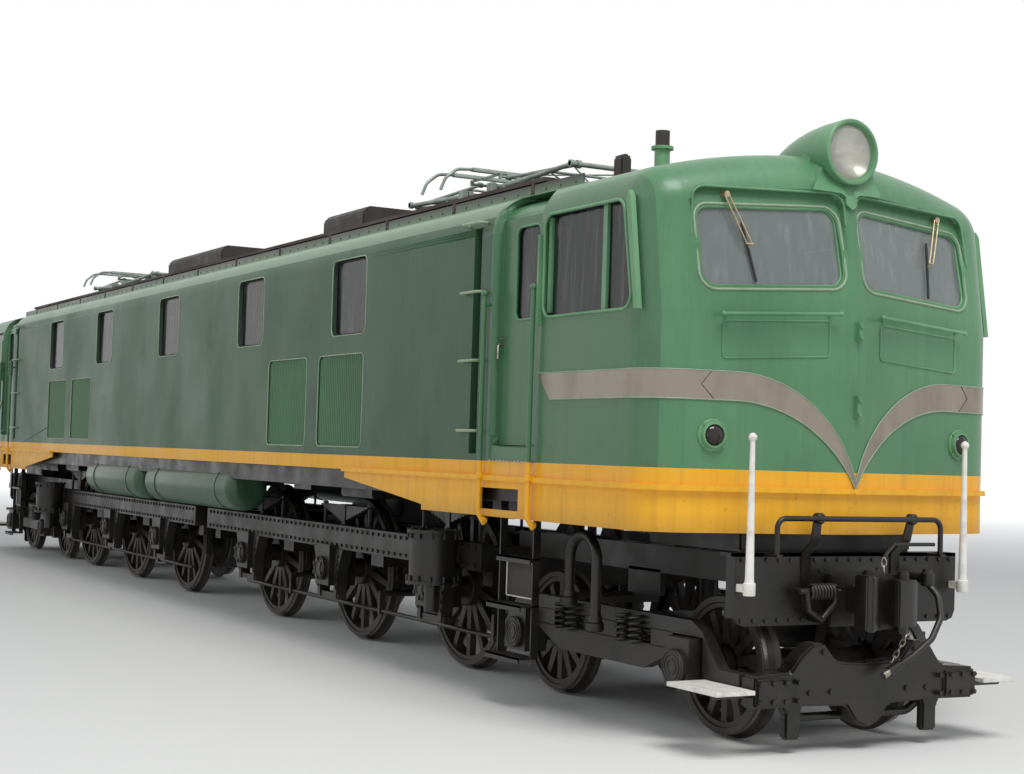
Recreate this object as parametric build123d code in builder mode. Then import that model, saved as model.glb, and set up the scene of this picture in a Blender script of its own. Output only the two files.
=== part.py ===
from build123d import *
import math
import os

os.makedirs("parts", exist_ok=True)

# Electric locomotive with a box body between two vee-nosed cabs, on two main trucks that
# each carry three driving axles, a coupler beam and a four-wheeled leading truck.
# Units are millimetres. +X points to the front cab, +Y to the left side, +Z up.
# The wheels stand on their flanges on Z = 0, and the rail head is at Z = RAIL.

# Driving dimensions
RAIL = 27               # depth of a wheel flange below the rail head
COUPLER_X = 9950        # pulling face of each coupler
SIDE_Y = 1400           # outer face of the body sides
NOSE_X = 9535           # tip of the vee nose below the windscreens
VEE = 8.4               # degrees that each half of the nose is swept back
LEAN = 8.0              # degrees that the windscreens lean back
CORNER_R = 300          # vertical corner between nose and side
TIP_R = 400             # soft ridge in the middle of the nose
SHOULDER_R = 280        # edge between side and roof
CAMBER_R = 4500         # crown of the roof, seen from the end
WALL = 80               # thickness of the body's walls with their frames and lining

# Heights
SILL_Z = RAIL + 1537    # lower edge of the body side
FLOOR_Z = RAIL + 1650   # cab floor
CREASE_Z = RAIL + 2600  # where the nose starts to lean back
EAVE_Z = RAIL + 3360    # joint between side wall and roof
ROOF_Z = RAIL + 3670    # crown of the roof
SKIRT_Z = RAIL + 1270   # lower edge of the end skirts

# Lengths along the body
CAB_X = 7300            # joint between cab and machine room walls
DRIVER_X = (1450, 3525, 5600)
LEADING_X = (7030, 9030)
TRUCK_PIVOT_X = 3525
LEADING_PIVOT_X = 8030

# Wheels
DRIVER_R = 625
LEADING_R = 430
WHEEL_BACK = 495        # half the distance between the backs of two wheels
WHEEL_WIDTH = 125
FLANGE_WIDTH = 32

ENDS = (("front", 0), ("rear", 180))


def save(part, name):
    """Label one finished piece and write its STEP file."""
    part.label = name
    export_step(part, f"parts/{name}.step")


def plan(z, shift, inset):
    """Body outline from above at height z, drawn in by inset, noses set back by shift."""
    sweep_back = math.tan(math.radians(VEE))
    tip = NOSE_X - shift - inset / math.cos(math.radians(VEE))
    side = SIDE_Y - inset
    corner = tip - side * sweep_back
    with BuildSketch(Plane.XY.offset(z)) as outline:
        with BuildLine():
            Polyline((tip, 0), (corner, side), (-corner, side), (-tip, 0),
                     (-corner, -side), (corner, -side), close=True)
        make_face()
        corners = [v for v in outline.vertices() if abs(v.Y) > 1]
        fillet(corners, CORNER_R - inset)
        tips = [v for v in outline.vertices() if abs(v.Y) < 1]
        fillet(tips, TIP_R - inset)
    return outline.sketch


def envelope(inset, base_z):
    """Closed outer form of the body, drawn in by inset on every side, from base_z up."""
    rise = ROOF_Z + 100 - CREASE_Z
    setback = rise * math.tan(math.radians(LEAN))
    with BuildPart() as form:
        add(plan(base_z, 0, inset))
        extrude(amount=CREASE_Z - base_z)
        add(plan(CREASE_Z, 0, inset))
        add(plan(CREASE_Z + rise, setback, inset))
        loft(ruled=True)
        with Locations((0, 0, ROOF_Z - CAMBER_R)):
            Cylinder(CAMBER_R - inset, 2 * NOSE_X + 200, rotation=(0, 90, 0), mode=Mode.INTERSECT)
        rim = [e for e in form.edges() if e.center().Z > EAVE_Z and abs(e.center().Y) > 1]
        rim = [e for e in rim if e.geom_type != GeomType.LINE or abs(e.tangent_at(0.5).Z) < 0.9]
        fillet(rim, SHOULDER_R - inset)
    return form.part


def box(x0, x1, y0, y1, z0, z1, mode=Mode.ADD):
    """Plain block between two corners."""
    with Locations(((x0 + x1) / 2, (y0 + y1) / 2, (z0 + z1) / 2)):
        Box(abs(x1 - x0), abs(y1 - y0), abs(z1 - z0), mode=mode)


# Body forms shared by the panels
outer_form = envelope(0, SILL_Z)
inner_form = envelope(WALL, SILL_Z - 50)
with BuildPart() as shell:
    add(outer_form)
    add(inner_form, mode=Mode.SUBTRACT)

# Windows of the machine room, the same on both sides: centre along X
SIDE_WINDOW_X = (-4830, -2520, 0, 2520, 4830)
SIDE_WINDOW_SIZE = (700, 638)
SIDE_WINDOW_Z = RAIL + 2964

with BuildPart() as side_openings:
    with BuildSketch(Plane.XZ) as windows:
        with Locations([(x, SIDE_WINDOW_Z) for x in SIDE_WINDOW_X]):
            RectangleRounded(*SIDE_WINDOW_SIZE, 70)
    extrude(amount=SIDE_Y + 20, both=True)

for side_name, y in (("left", 1), ("right", -1)):
    with BuildPart() as side_wall:
        add(shell.part)
        box(-CAB_X, CAB_X, 0, y * (SIDE_Y + 50), SILL_Z - 50, EAVE_Z, mode=Mode.INTERSECT)
        add(side_openings.part, mode=Mode.SUBTRACT)
    save(side_wall.part, f"side_{side_name}")

with BuildPart() as roof:
    add(shell.part)
    box(-CAB_X, CAB_X, -SIDE_Y, SIDE_Y, EAVE_Z, ROOF_Z + 50, mode=Mode.INTERSECT)
save(roof.part, "roof")

# Cabs: one pressed shell each, with two door recesses, two side windows and two windscreens
DOOR_X = (7360, 7980)
DOOR_Z = (RAIL + 1750, RAIL + 3490)
LEAF_TOP_Z = RAIL + 3330
DOOR_RECESS = 57
DOOR_GAP = 5
LEAF_THICK = 40
HINGE_X = DOOR_X[1] - 10 - DOOR_GAP
LEAF_Y = SIDE_Y - DOOR_RECESS

with BuildPart() as windscreen_openings:
    with BuildSketch(Plane.YZ.offset(8900)) as panes:
        with BuildLine():
            Polyline((88, RAIL + 2812), (1065, RAIL + 2754), (1065, RAIL + 3243),
                     (88, RAIL + 3300), close=True)
        make_face()
        fillet(panes.vertices(), 90)
        mirror(about=Plane.YZ)
    extrude(amount=900)

with BuildPart() as cab_window_openings:
    with BuildSketch(Plane.XZ) as cab_window:
        with BuildLine():
            Polyline((8030, RAIL + 2610), (9100, RAIL + 2610), (8980, RAIL + 3290),
                     (8030, RAIL + 3290), close=True)
        make_face()
        fillet(cab_window.vertices(), 80)
    extrude(amount=SIDE_Y + 20, both=True)

recess_form = envelope(DOOR_RECESS, SILL_Z - 50)
with BuildPart() as door_recess:
    with BuildSketch(Plane.XZ) as recess_face:
        with Locations(((DOOR_X[0] + DOOR_X[1]) / 2, (DOOR_Z[0] + DOOR_Z[1]) / 2)):
            Rectangle(DOOR_X[1] - DOOR_X[0], DOOR_Z[1] - DOOR_Z[0])
        fillet(recess_face.vertices().group_by(Axis.Z)[-1], 100)
    extrude(amount=SIDE_Y + 100, both=True)
    add(recess_form, mode=Mode.SUBTRACT)

with BuildPart() as cab:
    add(shell.part)
    box(CAB_X, NOSE_X + 50, -SIDE_Y - 50, SIDE_Y + 50, SILL_Z - 50, ROOF_Z + 50, mode=Mode.INTERSECT)
    add(windscreen_openings.part, mode=Mode.SUBTRACT)
    add(cab_window_openings.part, mode=Mode.SUBTRACT)
    add(door_recess.part, mode=Mode.SUBTRACT)
    box(DOOR_X[0] + 10, DOOR_X[1] - 10, -SIDE_Y, SIDE_Y, DOOR_Z[0] + 10, LEAF_TOP_Z, mode=Mode.SUBTRACT)

# Glass: panes that fill the openings part way through the wall
glass_outside = envelope(40, SILL_Z - 50)
glass_inside = envelope(48, SILL_Z - 50)
with BuildPart() as glass:
    add(side_openings.part)
    for end, turn in ENDS:
        add(windscreen_openings.part, rotation=(0, 0, turn))
        add(cab_window_openings.part, rotation=(0, 0, turn))
    add(glass_outside, mode=Mode.INTERSECT)
    add(glass_inside, mode=Mode.SUBTRACT)
save(glass.part, "window_glass")

for end, turn in ENDS:
    with BuildPart() as turned_cab:
        add(cab.part, rotation=(0, 0, turn))
    save(turned_cab.part, f"{end}_cab")

# Cab doors: flat leaves, hinged on their forward edge, opening inwards
with BuildPart() as door:
    box(DOOR_X[0] + 10 + DOOR_GAP, HINGE_X, -LEAF_Y, -LEAF_Y + LEAF_THICK,
        DOOR_Z[0] + 10 + DOOR_GAP, LEAF_TOP_Z - DOOR_GAP)
    with BuildSketch(Plane.XZ.offset(LEAF_Y + 20)) as door_window:
        with Locations((7725, RAIL + 2940)):
            RectangleRounded(330, 640, 60)
    extrude(amount=-100, mode=Mode.SUBTRACT)

for end, turn in ENDS:
    with BuildPart() as right_door:
        add(door.part, rotation=(0, 0, turn))
    save(right_door.part, f"{end}_door_{'right' if end == 'front' else 'left'}")
    with BuildPart() as left_door:
        add(door.part.mirror(Plane.XZ), rotation=(0, 0, turn))
    save(left_door.part, f"{end}_door_{'left' if end == 'front' else 'right'}")

# Underframe: floor, sills and the two body bolsters with their pivot pins
BOLSTER_GAP = 1
TRUCK_BOLSTER_Z = RAIL + 1100
PIVOT_R = 120
with BuildPart() as underframe:
    add(plan(SILL_Z, 0, WALL))
    extrude(amount=FLOOR_Z - SILL_Z)
    for y in (-1, 1):
        box(-9150, 9150, y * 360, y * 470, RAIL + 1320, SILL_Z)
        box(-8900, 8900, y * 1220, y * 1320, RAIL + 1380, SILL_Z)
    for x in (-8600, -6800, -5000, -1500, 1500, 5000, 6800, 8600):
        box(x - 50, x + 50, -1220, 1220, RAIL + 1400, SILL_Z)
    for x in (-TRUCK_PIVOT_X, TRUCK_PIVOT_X):
        box(x - 200, x + 200, -1220, 1220, RAIL + 1330, SILL_Z)
        box(x - 200, x + 200, -300, 300, TRUCK_BOLSTER_Z + BOLSTER_GAP, RAIL + 1330)
        with Locations((x, 0, RAIL + 1050)):
            Cylinder(PIVOT_R, 300)
save(underframe.part, "underframe")

# Partitions between cab and machine room
with BuildPart() as bulkheads:
    add(inner_form)
    with BuildPart(mode=Mode.PRIVATE) as slices:
        for x in (-1, 1):
            box(x * 7140, x * 7200, -SIDE_Y, SIDE_Y, FLOOR_Z, ROOF_Z + 50)
    add(slices.part, mode=Mode.INTERSECT)
save(bulkheads.part, "bulkheads")

# Electrical gear and boiler of the machine room, one plain block
with BuildPart() as machinery:
    box(-3600, 3600, -650, 650, FLOOR_Z, FLOOR_Z + 1500)
save(machinery.part, "machinery_block")

# Yellow end skirts with the ledge that runs round the nose
LEDGE = 30
SKIRT_THICK = 20
with BuildPart() as skirt:
    add(plan(SKIRT_Z, 0, 0))
    extrude(amount=SILL_Z - SKIRT_Z)
    add(plan(RAIL + 1520, 0, -LEDGE))
    extrude(amount=33)
    add(plan(SKIRT_Z - 10, 0, SKIRT_THICK))
    extrude(amount=SILL_Z - SKIRT_Z + 10, mode=Mode.SUBTRACT)
    add(plan(SILL_Z, 0, 0))
    extrude(amount=50, mode=Mode.SUBTRACT)
    with BuildSketch(Plane.XZ) as skirt_side:
        with BuildLine():
            Polyline((4860, SILL_Z + 50), (4860, RAIL + 1470), (6310, RAIL + 1310), (6310, SKIRT_Z - 5),
                     (NOSE_X + 50, SKIRT_Z - 5), (NOSE_X + 50, SILL_Z + 50), close=True)
        make_face()
    extrude(amount=SIDE_Y + 100, both=True, mode=Mode.INTERSECT)
    box(7230, 7770, -SIDE_Y - 5, SIDE_Y + 5, RAIL + 1320, RAIL + 1467, mode=Mode.SUBTRACT)
for end, turn in ENDS:
    with BuildPart() as turned_skirt:
        add(skirt.part, rotation=(0, 0, turn))
    save(turned_skirt.part, f"{end}_skirt")

# Headlights: a bullet casing lying on the roof over each nose
LAMP_Z = RAIL + 3670
with BuildPart() as headlight:
    with BuildSketch(Plane.XZ) as casing:
        with BuildLine():
            Polyline((8660, LAMP_Z), (8700, LAMP_Z + 90), (8850, LAMP_Z + 150), (9150, LAMP_Z + 200),
                     (9490, LAMP_Z + 210), (9490, LAMP_Z + 176), (9400, LAMP_Z + 120), (9400, LAMP_Z),
                     close=True)
        make_face()
    revolve(axis=Axis((0, 0, LAMP_Z), (1, 0, 0)))
    add(outer_form, mode=Mode.SUBTRACT)
with BuildPart() as headlights:
    for end, turn in ENDS:
        add(headlight.part.solids().sort_by(Axis.Z)[-1], rotation=(0, 0, turn))
save(headlights.part, "headlights")

# Roof walkways along both eaves, and low monitors in the middle
with BuildPart() as walkways:
    for y in (-1, 1):
        box(-6900, 6900, y * 960, y * 1180, RAIL + 3600, RAIL + 3700)
    add(outer_form, mode=Mode.SUBTRACT)
save(walkways.part, "roof_walkways")

with BuildPart() as monitors:
    for x in (-2400, 0, 2400):
        box(x - 700, x + 700, -500, 500, RAIL + 3500, RAIL + 3800)
    add(outer_form, mode=Mode.SUBTRACT)
save(monitors.part, "roof_monitors")

# Main trucks
FRAME_Y = (850, 950)
with BuildPart() as truck:
    for y in (-1, 1):
        box(200, 6450, y * FRAME_Y[0], y * FRAME_Y[1], RAIL + 420, RAIL + 1020)
        for x in DRIVER_X:
            box(x - 150, x + 150, y * 700, y * 1100, RAIL + 300, RAIL + 840, mode=Mode.SUBTRACT)
            box(x - 150, x + 150, y * 800, y * 1000, RAIL + DRIVER_R - 150, RAIL + 840)
        box(2200, 4500, y * 300, y * 440, RAIL + 850, RAIL + 1050)
        box(6300, 9350, y * 400, y * 540, RAIL + 940, RAIL + 1120)
    for x0, x1 in ((200, 350), (2200, 2450), (4250, 4500), (6300, 6450)):
        box(x0, x1, -FRAME_Y[0], FRAME_Y[0], RAIL + 700, RAIL + 1000)
    box(TRUCK_PIVOT_X - 200, TRUCK_PIVOT_X + 200, -440, 440, RAIL + 850, TRUCK_BOLSTER_Z)
    with Locations((TRUCK_PIVOT_X, 0, RAIL + 1000)):
        Cylinder(PIVOT_R + 1, 400, mode=Mode.SUBTRACT)
    for x in DRIVER_X:
        with Locations((x - 620, 0, RAIL + DRIVER_R + 30)):
            Cylinder(360, 840, rotation=(90, 0, 0))
        box(x - 1150, x - 900, -150, 150, RAIL + 750, RAIL + 850)
    for x in DRIVER_X:
        with Locations((x, 0, RAIL + DRIVER_R)):
            Cylinder(85.5, 2100, rotation=(90, 0, 0), mode=Mode.SUBTRACT)
    box(LEADING_PIVOT_X - 100, LEADING_PIVOT_X + 100, -400, 400, RAIL + 940, RAIL + 1120)
    with Locations((LEADING_PIVOT_X, 0, RAIL + 740)):
        Cylinder(70, 420)
for end, turn in ENDS:
    with BuildPart() as turned_truck:
        add(truck.part, rotation=(0, 0, turn))
    save(turned_truck.part, f"{end}_truck_frame")

# End beams with their couplers and shunters' poles
COUPLER_Z = RAIL + 880
with BuildPart() as end_beam:
    box(9450, 9500, -883, 883, RAIL + 720, RAIL + 1155)
    box(9350, 9450, -540, 540, RAIL + 940, RAIL + 1120)
with BuildPart() as coupler:
    box(9500, 9560, -200, 200, COUPLER_Z - 160, COUPLER_Z + 160)
    box(9560, 9720, -80, 80, COUPLER_Z - 80, COUPLER_Z + 80)
    box(9720, COUPLER_X, -160, 160, COUPLER_Z - 170, COUPLER_Z + 170)
with BuildPart() as poles:
    for y in (-1, 1):
        box(9500, 9570, y * 825, y * 875, RAIL + 920, RAIL + 1000)
        with Locations((9600, y * 850, RAIL + 1398)):
            Cylinder(30, 956)
for end, turn in ENDS:
    for part, name in ((end_beam.part, "end_beam"), (coupler.part, "coupler"), (poles.part, "poles")):
        with BuildPart() as turned_part:
            add(part, rotation=(0, 0, turn))
        save(turned_part.part, f"{end}_{name}")

# Leading trucks with the casting that carries the rail guards
with BuildPart() as leading_frame:
    for y in (-1, 1):
        box(6650, 9560, y * 800, y * 880, RAIL + 330, RAIL + 560)
        for x in LEADING_X:
            box(x - 130, x + 130, y * 780, y * 960, RAIL + LEADING_R - 130, RAIL + LEADING_R + 130)
    box(7830, 8230, -800, 800, RAIL + 440, RAIL + 640)
    with Locations((LEADING_PIVOT_X, 0, RAIL + 540)):
        Cylinder(71, 300, mode=Mode.SUBTRACT)
    for x in LEADING_X:
        with Locations((x, 0, RAIL + LEADING_R)):
            Cylinder(70.5, 2100, rotation=(90, 0, 0), mode=Mode.SUBTRACT)
with BuildPart() as pilot:
    with BuildSketch(Plane.YZ.offset(9560)) as casting:
        with BuildLine():
            Polyline((0, RAIL + 110), (120, RAIL + 200), (500, RAIL + 260), (867, RAIL + 260),
                     (867, RAIL + 450), (520, RAIL + 630), (260, RAIL + 450), (0, RAIL + 470),
                     (-260, RAIL + 450), (-520, RAIL + 630), (-867, RAIL + 450), (-867, RAIL + 260),
                     (-500, RAIL + 260), (-120, RAIL + 200), close=True)
        make_face()
    extrude(amount=140)
    with Locations((9630, 0, RAIL + 215)):
        Cylinder(28, 400, rotation=(0, 90, 0), mode=Mode.SUBTRACT)
    for y in (-1, 1):
        box(9600, 9660, y * 480, y * 590, RAIL + 60, RAIL + 300)
for end, turn in ENDS:
    for part, name in ((leading_frame.part, "leading_frame"), (pilot.part, "pilot")):
        with BuildPart() as turned_part:
            add(part, rotation=(0, 0, turn))
        save(turned_part.part, f"{end}_{name}")


# Wheelsets, numbered from the coupler inwards
def wheelset(x, radius, journal_r, journal_end):
    """Axle with two flanged wheels, its middle at x."""
    with BuildPart() as axle:
        with Locations((x, 0, RAIL + radius)):
            Cylinder(journal_r, 2 * journal_end, rotation=(90, 0, 0))
            for y in (-1, 1):
                with Locations((0, y * (WHEEL_BACK + WHEEL_WIDTH / 2), 0)):
                    Cylinder(radius, WHEEL_WIDTH, rotation=(90, 0, 0))
                with Locations((0, y * (WHEEL_BACK + FLANGE_WIDTH / 2), 0)):
                    Cylinder(radius + RAIL, FLANGE_WIDTH, rotation=(90, 0, 0))
    return axle.part


for end, turn in ENDS:
    way = 1 if end == "front" else -1
    for number, x in enumerate((LEADING_X[1], LEADING_X[0], DRIVER_X[2], DRIVER_X[1], DRIVER_X[0])):
        leading = number < 2
        radius = LEADING_R if leading else DRIVER_R
        axle = wheelset(way * x, radius, 70 if leading else 85, 950 if leading else 990)
        save(axle, f"{end}_wheelset_{number + 1}")

# Pantographs: two folding lattice arms each, standing on a frame on four insulators
PANTOGRAPH_X = 5300
SHAFT_X = 250
SHAFT_Z = RAIL + 3880
ARM = 1150
FOLD = 2.5
TIP_X = SHAFT_X + ARM * math.cos(math.radians(FOLD))
TIP_Z = SHAFT_Z + ARM * math.sin(math.radians(FOLD))
HEAD_Z = SHAFT_Z + 2 * ARM * math.sin(math.radians(FOLD))
BASE_Z = RAIL + 3790

with BuildPart() as insulators:
    for x in (-PANTOGRAPH_X, PANTOGRAPH_X):
        with Locations([(x + dx, dy, RAIL + 3690) for dx in (-500, 500) for dy in (-480, 480)]):
            Cylinder(70, 200)
    add(outer_form, mode=Mode.SUBTRACT)
save(insulators.part, "roof_insulators")

with BuildPart() as bases:
    for x in (-PANTOGRAPH_X, PANTOGRAPH_X):
        for y in (-480, 480):
            box(x - 700, x + 700, y - 35, y + 35, BASE_Z, BASE_Z + 50)
            for dx in (-SHAFT_X, SHAFT_X):
                box(x + dx - 45, x + dx + 45, y - 25, y + 25, BASE_Z + 50, SHAFT_Z + 40)
        for dx in (-660, 660):
            box(x + dx - 35, x + dx + 35, -445, 445, BASE_Z, BASE_Z + 50)
        with Locations([(x + dx, 0, SHAFT_Z) for dx in (-SHAFT_X, SHAFT_X)]):
            Cylinder(25.5, 1100, rotation=(90, 0, 0), mode=Mode.SUBTRACT)
save(bases.part, "pantograph_bases")


def rod(start, finish, radius):
    """Round bar between two points."""
    a = Vector(*start)
    b = Vector(*finish)
    with BuildPart() as bar:
        with BuildSketch(Plane(origin=a, z_dir=b - a)):
            Circle(radius)
        extrude(amount=(b - a).length)
    return bar.part


with BuildPart() as lower_arm:
    with Locations((SHAFT_X, 0, SHAFT_Z)):
        Cylinder(25, 1000, rotation=(90, 0, 0))
    for y in (-400, 400):
        add(rod((SHAFT_X, y, SHAFT_Z), (TIP_X, y, TIP_Z), 22))
    with Locations((TIP_X, 0, TIP_Z)):
        Cylinder(20, 840, rotation=(90, 0, 0))
with BuildPart() as upper_arm:
    for y in (-330, 330):
        add(rod((TIP_X, y, TIP_Z), (SHAFT_X, y, HEAD_Z), 15))
        with Locations((TIP_X, y, TIP_Z)):
            Cylinder(34, 40, rotation=(90, 0, 0))
        with Locations((SHAFT_X, y, HEAD_Z)):
            Cylinder(25, 40, rotation=(90, 0, 0))
    with Locations((TIP_X, 0, TIP_Z)):
        Cylinder(21, 900, rotation=(90, 0, 0), mode=Mode.SUBTRACT)
    with Locations((SHAFT_X, 0, HEAD_Z)):
        Cylinder(13, 900, rotation=(90, 0, 0), mode=Mode.SUBTRACT)
    with Locations((SHAFT_X + 250, 0, HEAD_Z - 250 * math.sin(math.radians(FOLD)))):
        Cylinder(12, 660, rotation=(90, 0, 0))
with BuildPart() as head:
    for x in (-SHAFT_X, SHAFT_X):
        with Locations((x, 0, HEAD_Z)):
            Cylinder(12, 800, rotation=(90, 0, 0))
        box(x - 30, x + 30, -550, 550, HEAD_Z + 30, HEAD_Z + 60)
        for y in (-400, 400):
            box(x - 15, x + 15, y - 10, y + 10, HEAD_Z - 15, HEAD_Z + 30)
    for y in (-400, 400):
        box(-SHAFT_X, SHAFT_X, y - 10, y + 10, HEAD_Z + 12, HEAD_Z + 30)

for end, turn in ENDS:
    way = 1 if end == "front" else -1
    for part, name, flip in ((lower_arm.part, "lower_arm_outer", 0), (lower_arm.part, "lower_arm_inner", 180),
                             (upper_arm.part, "upper_arm_outer", 0), (upper_arm.part, "upper_arm_inner", 180),
                             (head.part, "collector", 0)):
        with BuildPart() as placed:
            with Locations((way * PANTOGRAPH_X, 0, 0)):
                add(part, rotation=(0, 0, turn + flip))
        save(placed.part, f"{end}_{name}")
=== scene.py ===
import math

import bmesh
import bpy
from mathutils import Matrix, Vector


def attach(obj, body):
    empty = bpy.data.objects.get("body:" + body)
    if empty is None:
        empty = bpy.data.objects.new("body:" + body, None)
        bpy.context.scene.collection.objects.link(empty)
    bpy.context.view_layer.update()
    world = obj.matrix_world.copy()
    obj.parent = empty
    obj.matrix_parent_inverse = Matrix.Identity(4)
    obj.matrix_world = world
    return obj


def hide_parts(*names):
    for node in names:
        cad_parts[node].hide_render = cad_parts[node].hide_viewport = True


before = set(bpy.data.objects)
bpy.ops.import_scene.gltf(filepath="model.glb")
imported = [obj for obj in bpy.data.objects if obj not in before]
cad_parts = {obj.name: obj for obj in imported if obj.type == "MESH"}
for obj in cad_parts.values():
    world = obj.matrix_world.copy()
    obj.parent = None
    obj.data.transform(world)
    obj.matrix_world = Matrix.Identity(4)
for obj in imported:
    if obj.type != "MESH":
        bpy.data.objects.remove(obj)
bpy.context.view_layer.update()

# Camera: place, aim and lens found from the photograph's perspective
CAMERA_PLACE = (17.50, -6.914, 1.737)
CAMERA_YAW = math.radians(150.746)
CAMERA_PITCH = math.radians(2.459)
CAMERA_ROLL = math.radians(1.770)
IMAGE_WIDTH = 1024
IMAGE_HEIGHT = 774
FOCAL_PIXELS = 1663.9
OPTICAL_CENTRE = (513.0, 381.7)
SENSOR = 36.0

forward = Vector((math.cos(CAMERA_YAW) * math.cos(CAMERA_PITCH),
                  math.sin(CAMERA_YAW) * math.cos(CAMERA_PITCH), math.sin(CAMERA_PITCH)))
level = Vector((math.sin(CAMERA_YAW), -math.cos(CAMERA_YAW), 0.0))
upright = level.cross(forward)
right = level * math.cos(CAMERA_ROLL) + upright * math.sin(CAMERA_ROLL)
up = upright * math.cos(CAMERA_ROLL) - level * math.sin(CAMERA_ROLL)
camera_data = bpy.data.cameras.new("camera")
camera_data.sensor_width = SENSOR
camera_data.lens = FOCAL_PIXELS * SENSOR / IMAGE_WIDTH
camera_data.shift_x = (IMAGE_WIDTH / 2 - OPTICAL_CENTRE[0]) / IMAGE_WIDTH
camera_data.shift_y = (OPTICAL_CENTRE[1] - IMAGE_HEIGHT / 2) / IMAGE_WIDTH
camera_data.clip_end = 200.0
camera = bpy.data.objects.new("camera", camera_data)
turn = Matrix((right, up, -forward)).transposed().to_4x4()
camera.matrix_world = Matrix.Translation(CAMERA_PLACE) @ turn
bpy.context.scene.collection.objects.link(camera)
bpy.context.scene.camera = camera
bpy.context.scene.view_settings.view_transform = "Standard"

# The body's surfaces, in metres
RAIL = 0.027                            # rail head above the floor that the flanges stand on
SIDE_Y = 1.4                            # outer face of the side walls
NOSE_X = 9.535                          # edge of the nose in the middle, below its crease
SWEEP = math.tan(math.radians(8.4))     # how fast the nose falls back towards the sides
LEAN = math.tan(math.radians(8.0))      # how fast it falls back above the crease
CREASE_Z = RAIL + 2.6
SILL_LINE_Z = RAIL + 1.652
ENDS = (("front", 1), ("rear", -1))
HANDS = (("left", 1), ("right", -1))


# Nodes and materials
def linear(code):
    """sRGB hex colour as linear values with alpha."""
    parts = [int(code[i:i + 2], 16) / 255 for i in (0, 2, 4)]
    return [c / 12.92 if c <= 0.04045 else ((c + 0.055) / 1.055) ** 2.4 for c in parts] + [1.0]


def feed(tree, socket, value):
    """Link an input to another node's output, or give it a plain value."""
    if isinstance(value, bpy.types.NodeSocket):
        tree.links.new(value, socket)
    else:
        socket.default_value = value


def node(tree, kind, settings=None, **links):
    """Add one node; settings are its properties, links are values or sockets by input name or i and number."""
    made = tree.nodes.new(kind)
    for key, value in (settings or {}).items():
        setattr(made, key, value)
    for key, value in links.items():
        numbered = key[0] == "i" and key[1:].isdigit()
        feed(tree, made.inputs[int(key[1:]) if numbered else key.replace("_", " ")], value)
    return made


def shine(tree, shader, **inputs):
    """Values or links for the shader's inputs, by their names with underscores for spaces."""
    for key, value in inputs.items():
        feed(tree, shader.inputs[key.replace("_", " ")], value)


def blank(name):
    """New material; gives it, its tree, its shader and its object coordinates."""
    material = bpy.data.materials.new(name)
    material.use_nodes = True
    tree = material.node_tree
    place = node(tree, "ShaderNodeTexCoord").outputs["Object"]
    return material, tree, tree.nodes["Principled BSDF"], place


def math_node(tree, kind, a, b=0.0):
    return node(tree, "ShaderNodeMath", {"operation": kind}, i0=a, i1=b).outputs[0]


def times(tree, a, b):
    return math_node(tree, "MULTIPLY", a, b)


def noise(tree, place, per_metre, detail, stretch=(1, 1, 1)):
    """Noise with the given number of features per metre, stretched along the axes."""
    scaled = node(tree, "ShaderNodeMapping", i0=place, Scale=stretch).outputs[0]
    made = node(tree, "ShaderNodeTexNoise", Vector=scaled, Scale=per_metre, Detail=detail, Roughness=0.55)
    return made.outputs["Fac"]


def ramp(tree, value, low, high, out_low=0.0, out_high=1.0):
    """Value from out_low to out_high as the input goes from low to high."""
    made = node(tree, "ShaderNodeMapRange", {"clamp": True}, Value=value)
    for key, number in (("From Min", low), ("From Max", high), ("To Min", out_low), ("To Max", out_high)):
        made.inputs[key].default_value = number
    return made.outputs[0]


def mix(tree, share, a, b):
    """Colour between a and b, each a hex code or a socket."""
    made = node(tree, "ShaderNodeMix", {"data_type": "RGBA"})
    for socket, value in ((made.inputs[0], share), (made.inputs[6], a), (made.inputs[7], b)):
        feed(tree, socket, linear(value) if isinstance(value, str) else value)
    return made.outputs[2]


def split(tree, place):
    """Node that gives X, Y and Z of a place."""
    return node(tree, "ShaderNodeSeparateXYZ", Vector=place)


def bump(tree, shader, value, strength, depth):
    made = node(tree, "ShaderNodeBump", Height=value, Strength=strength, Distance=depth)
    tree.links.new(made.outputs[0], shader.inputs["Normal"])


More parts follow.
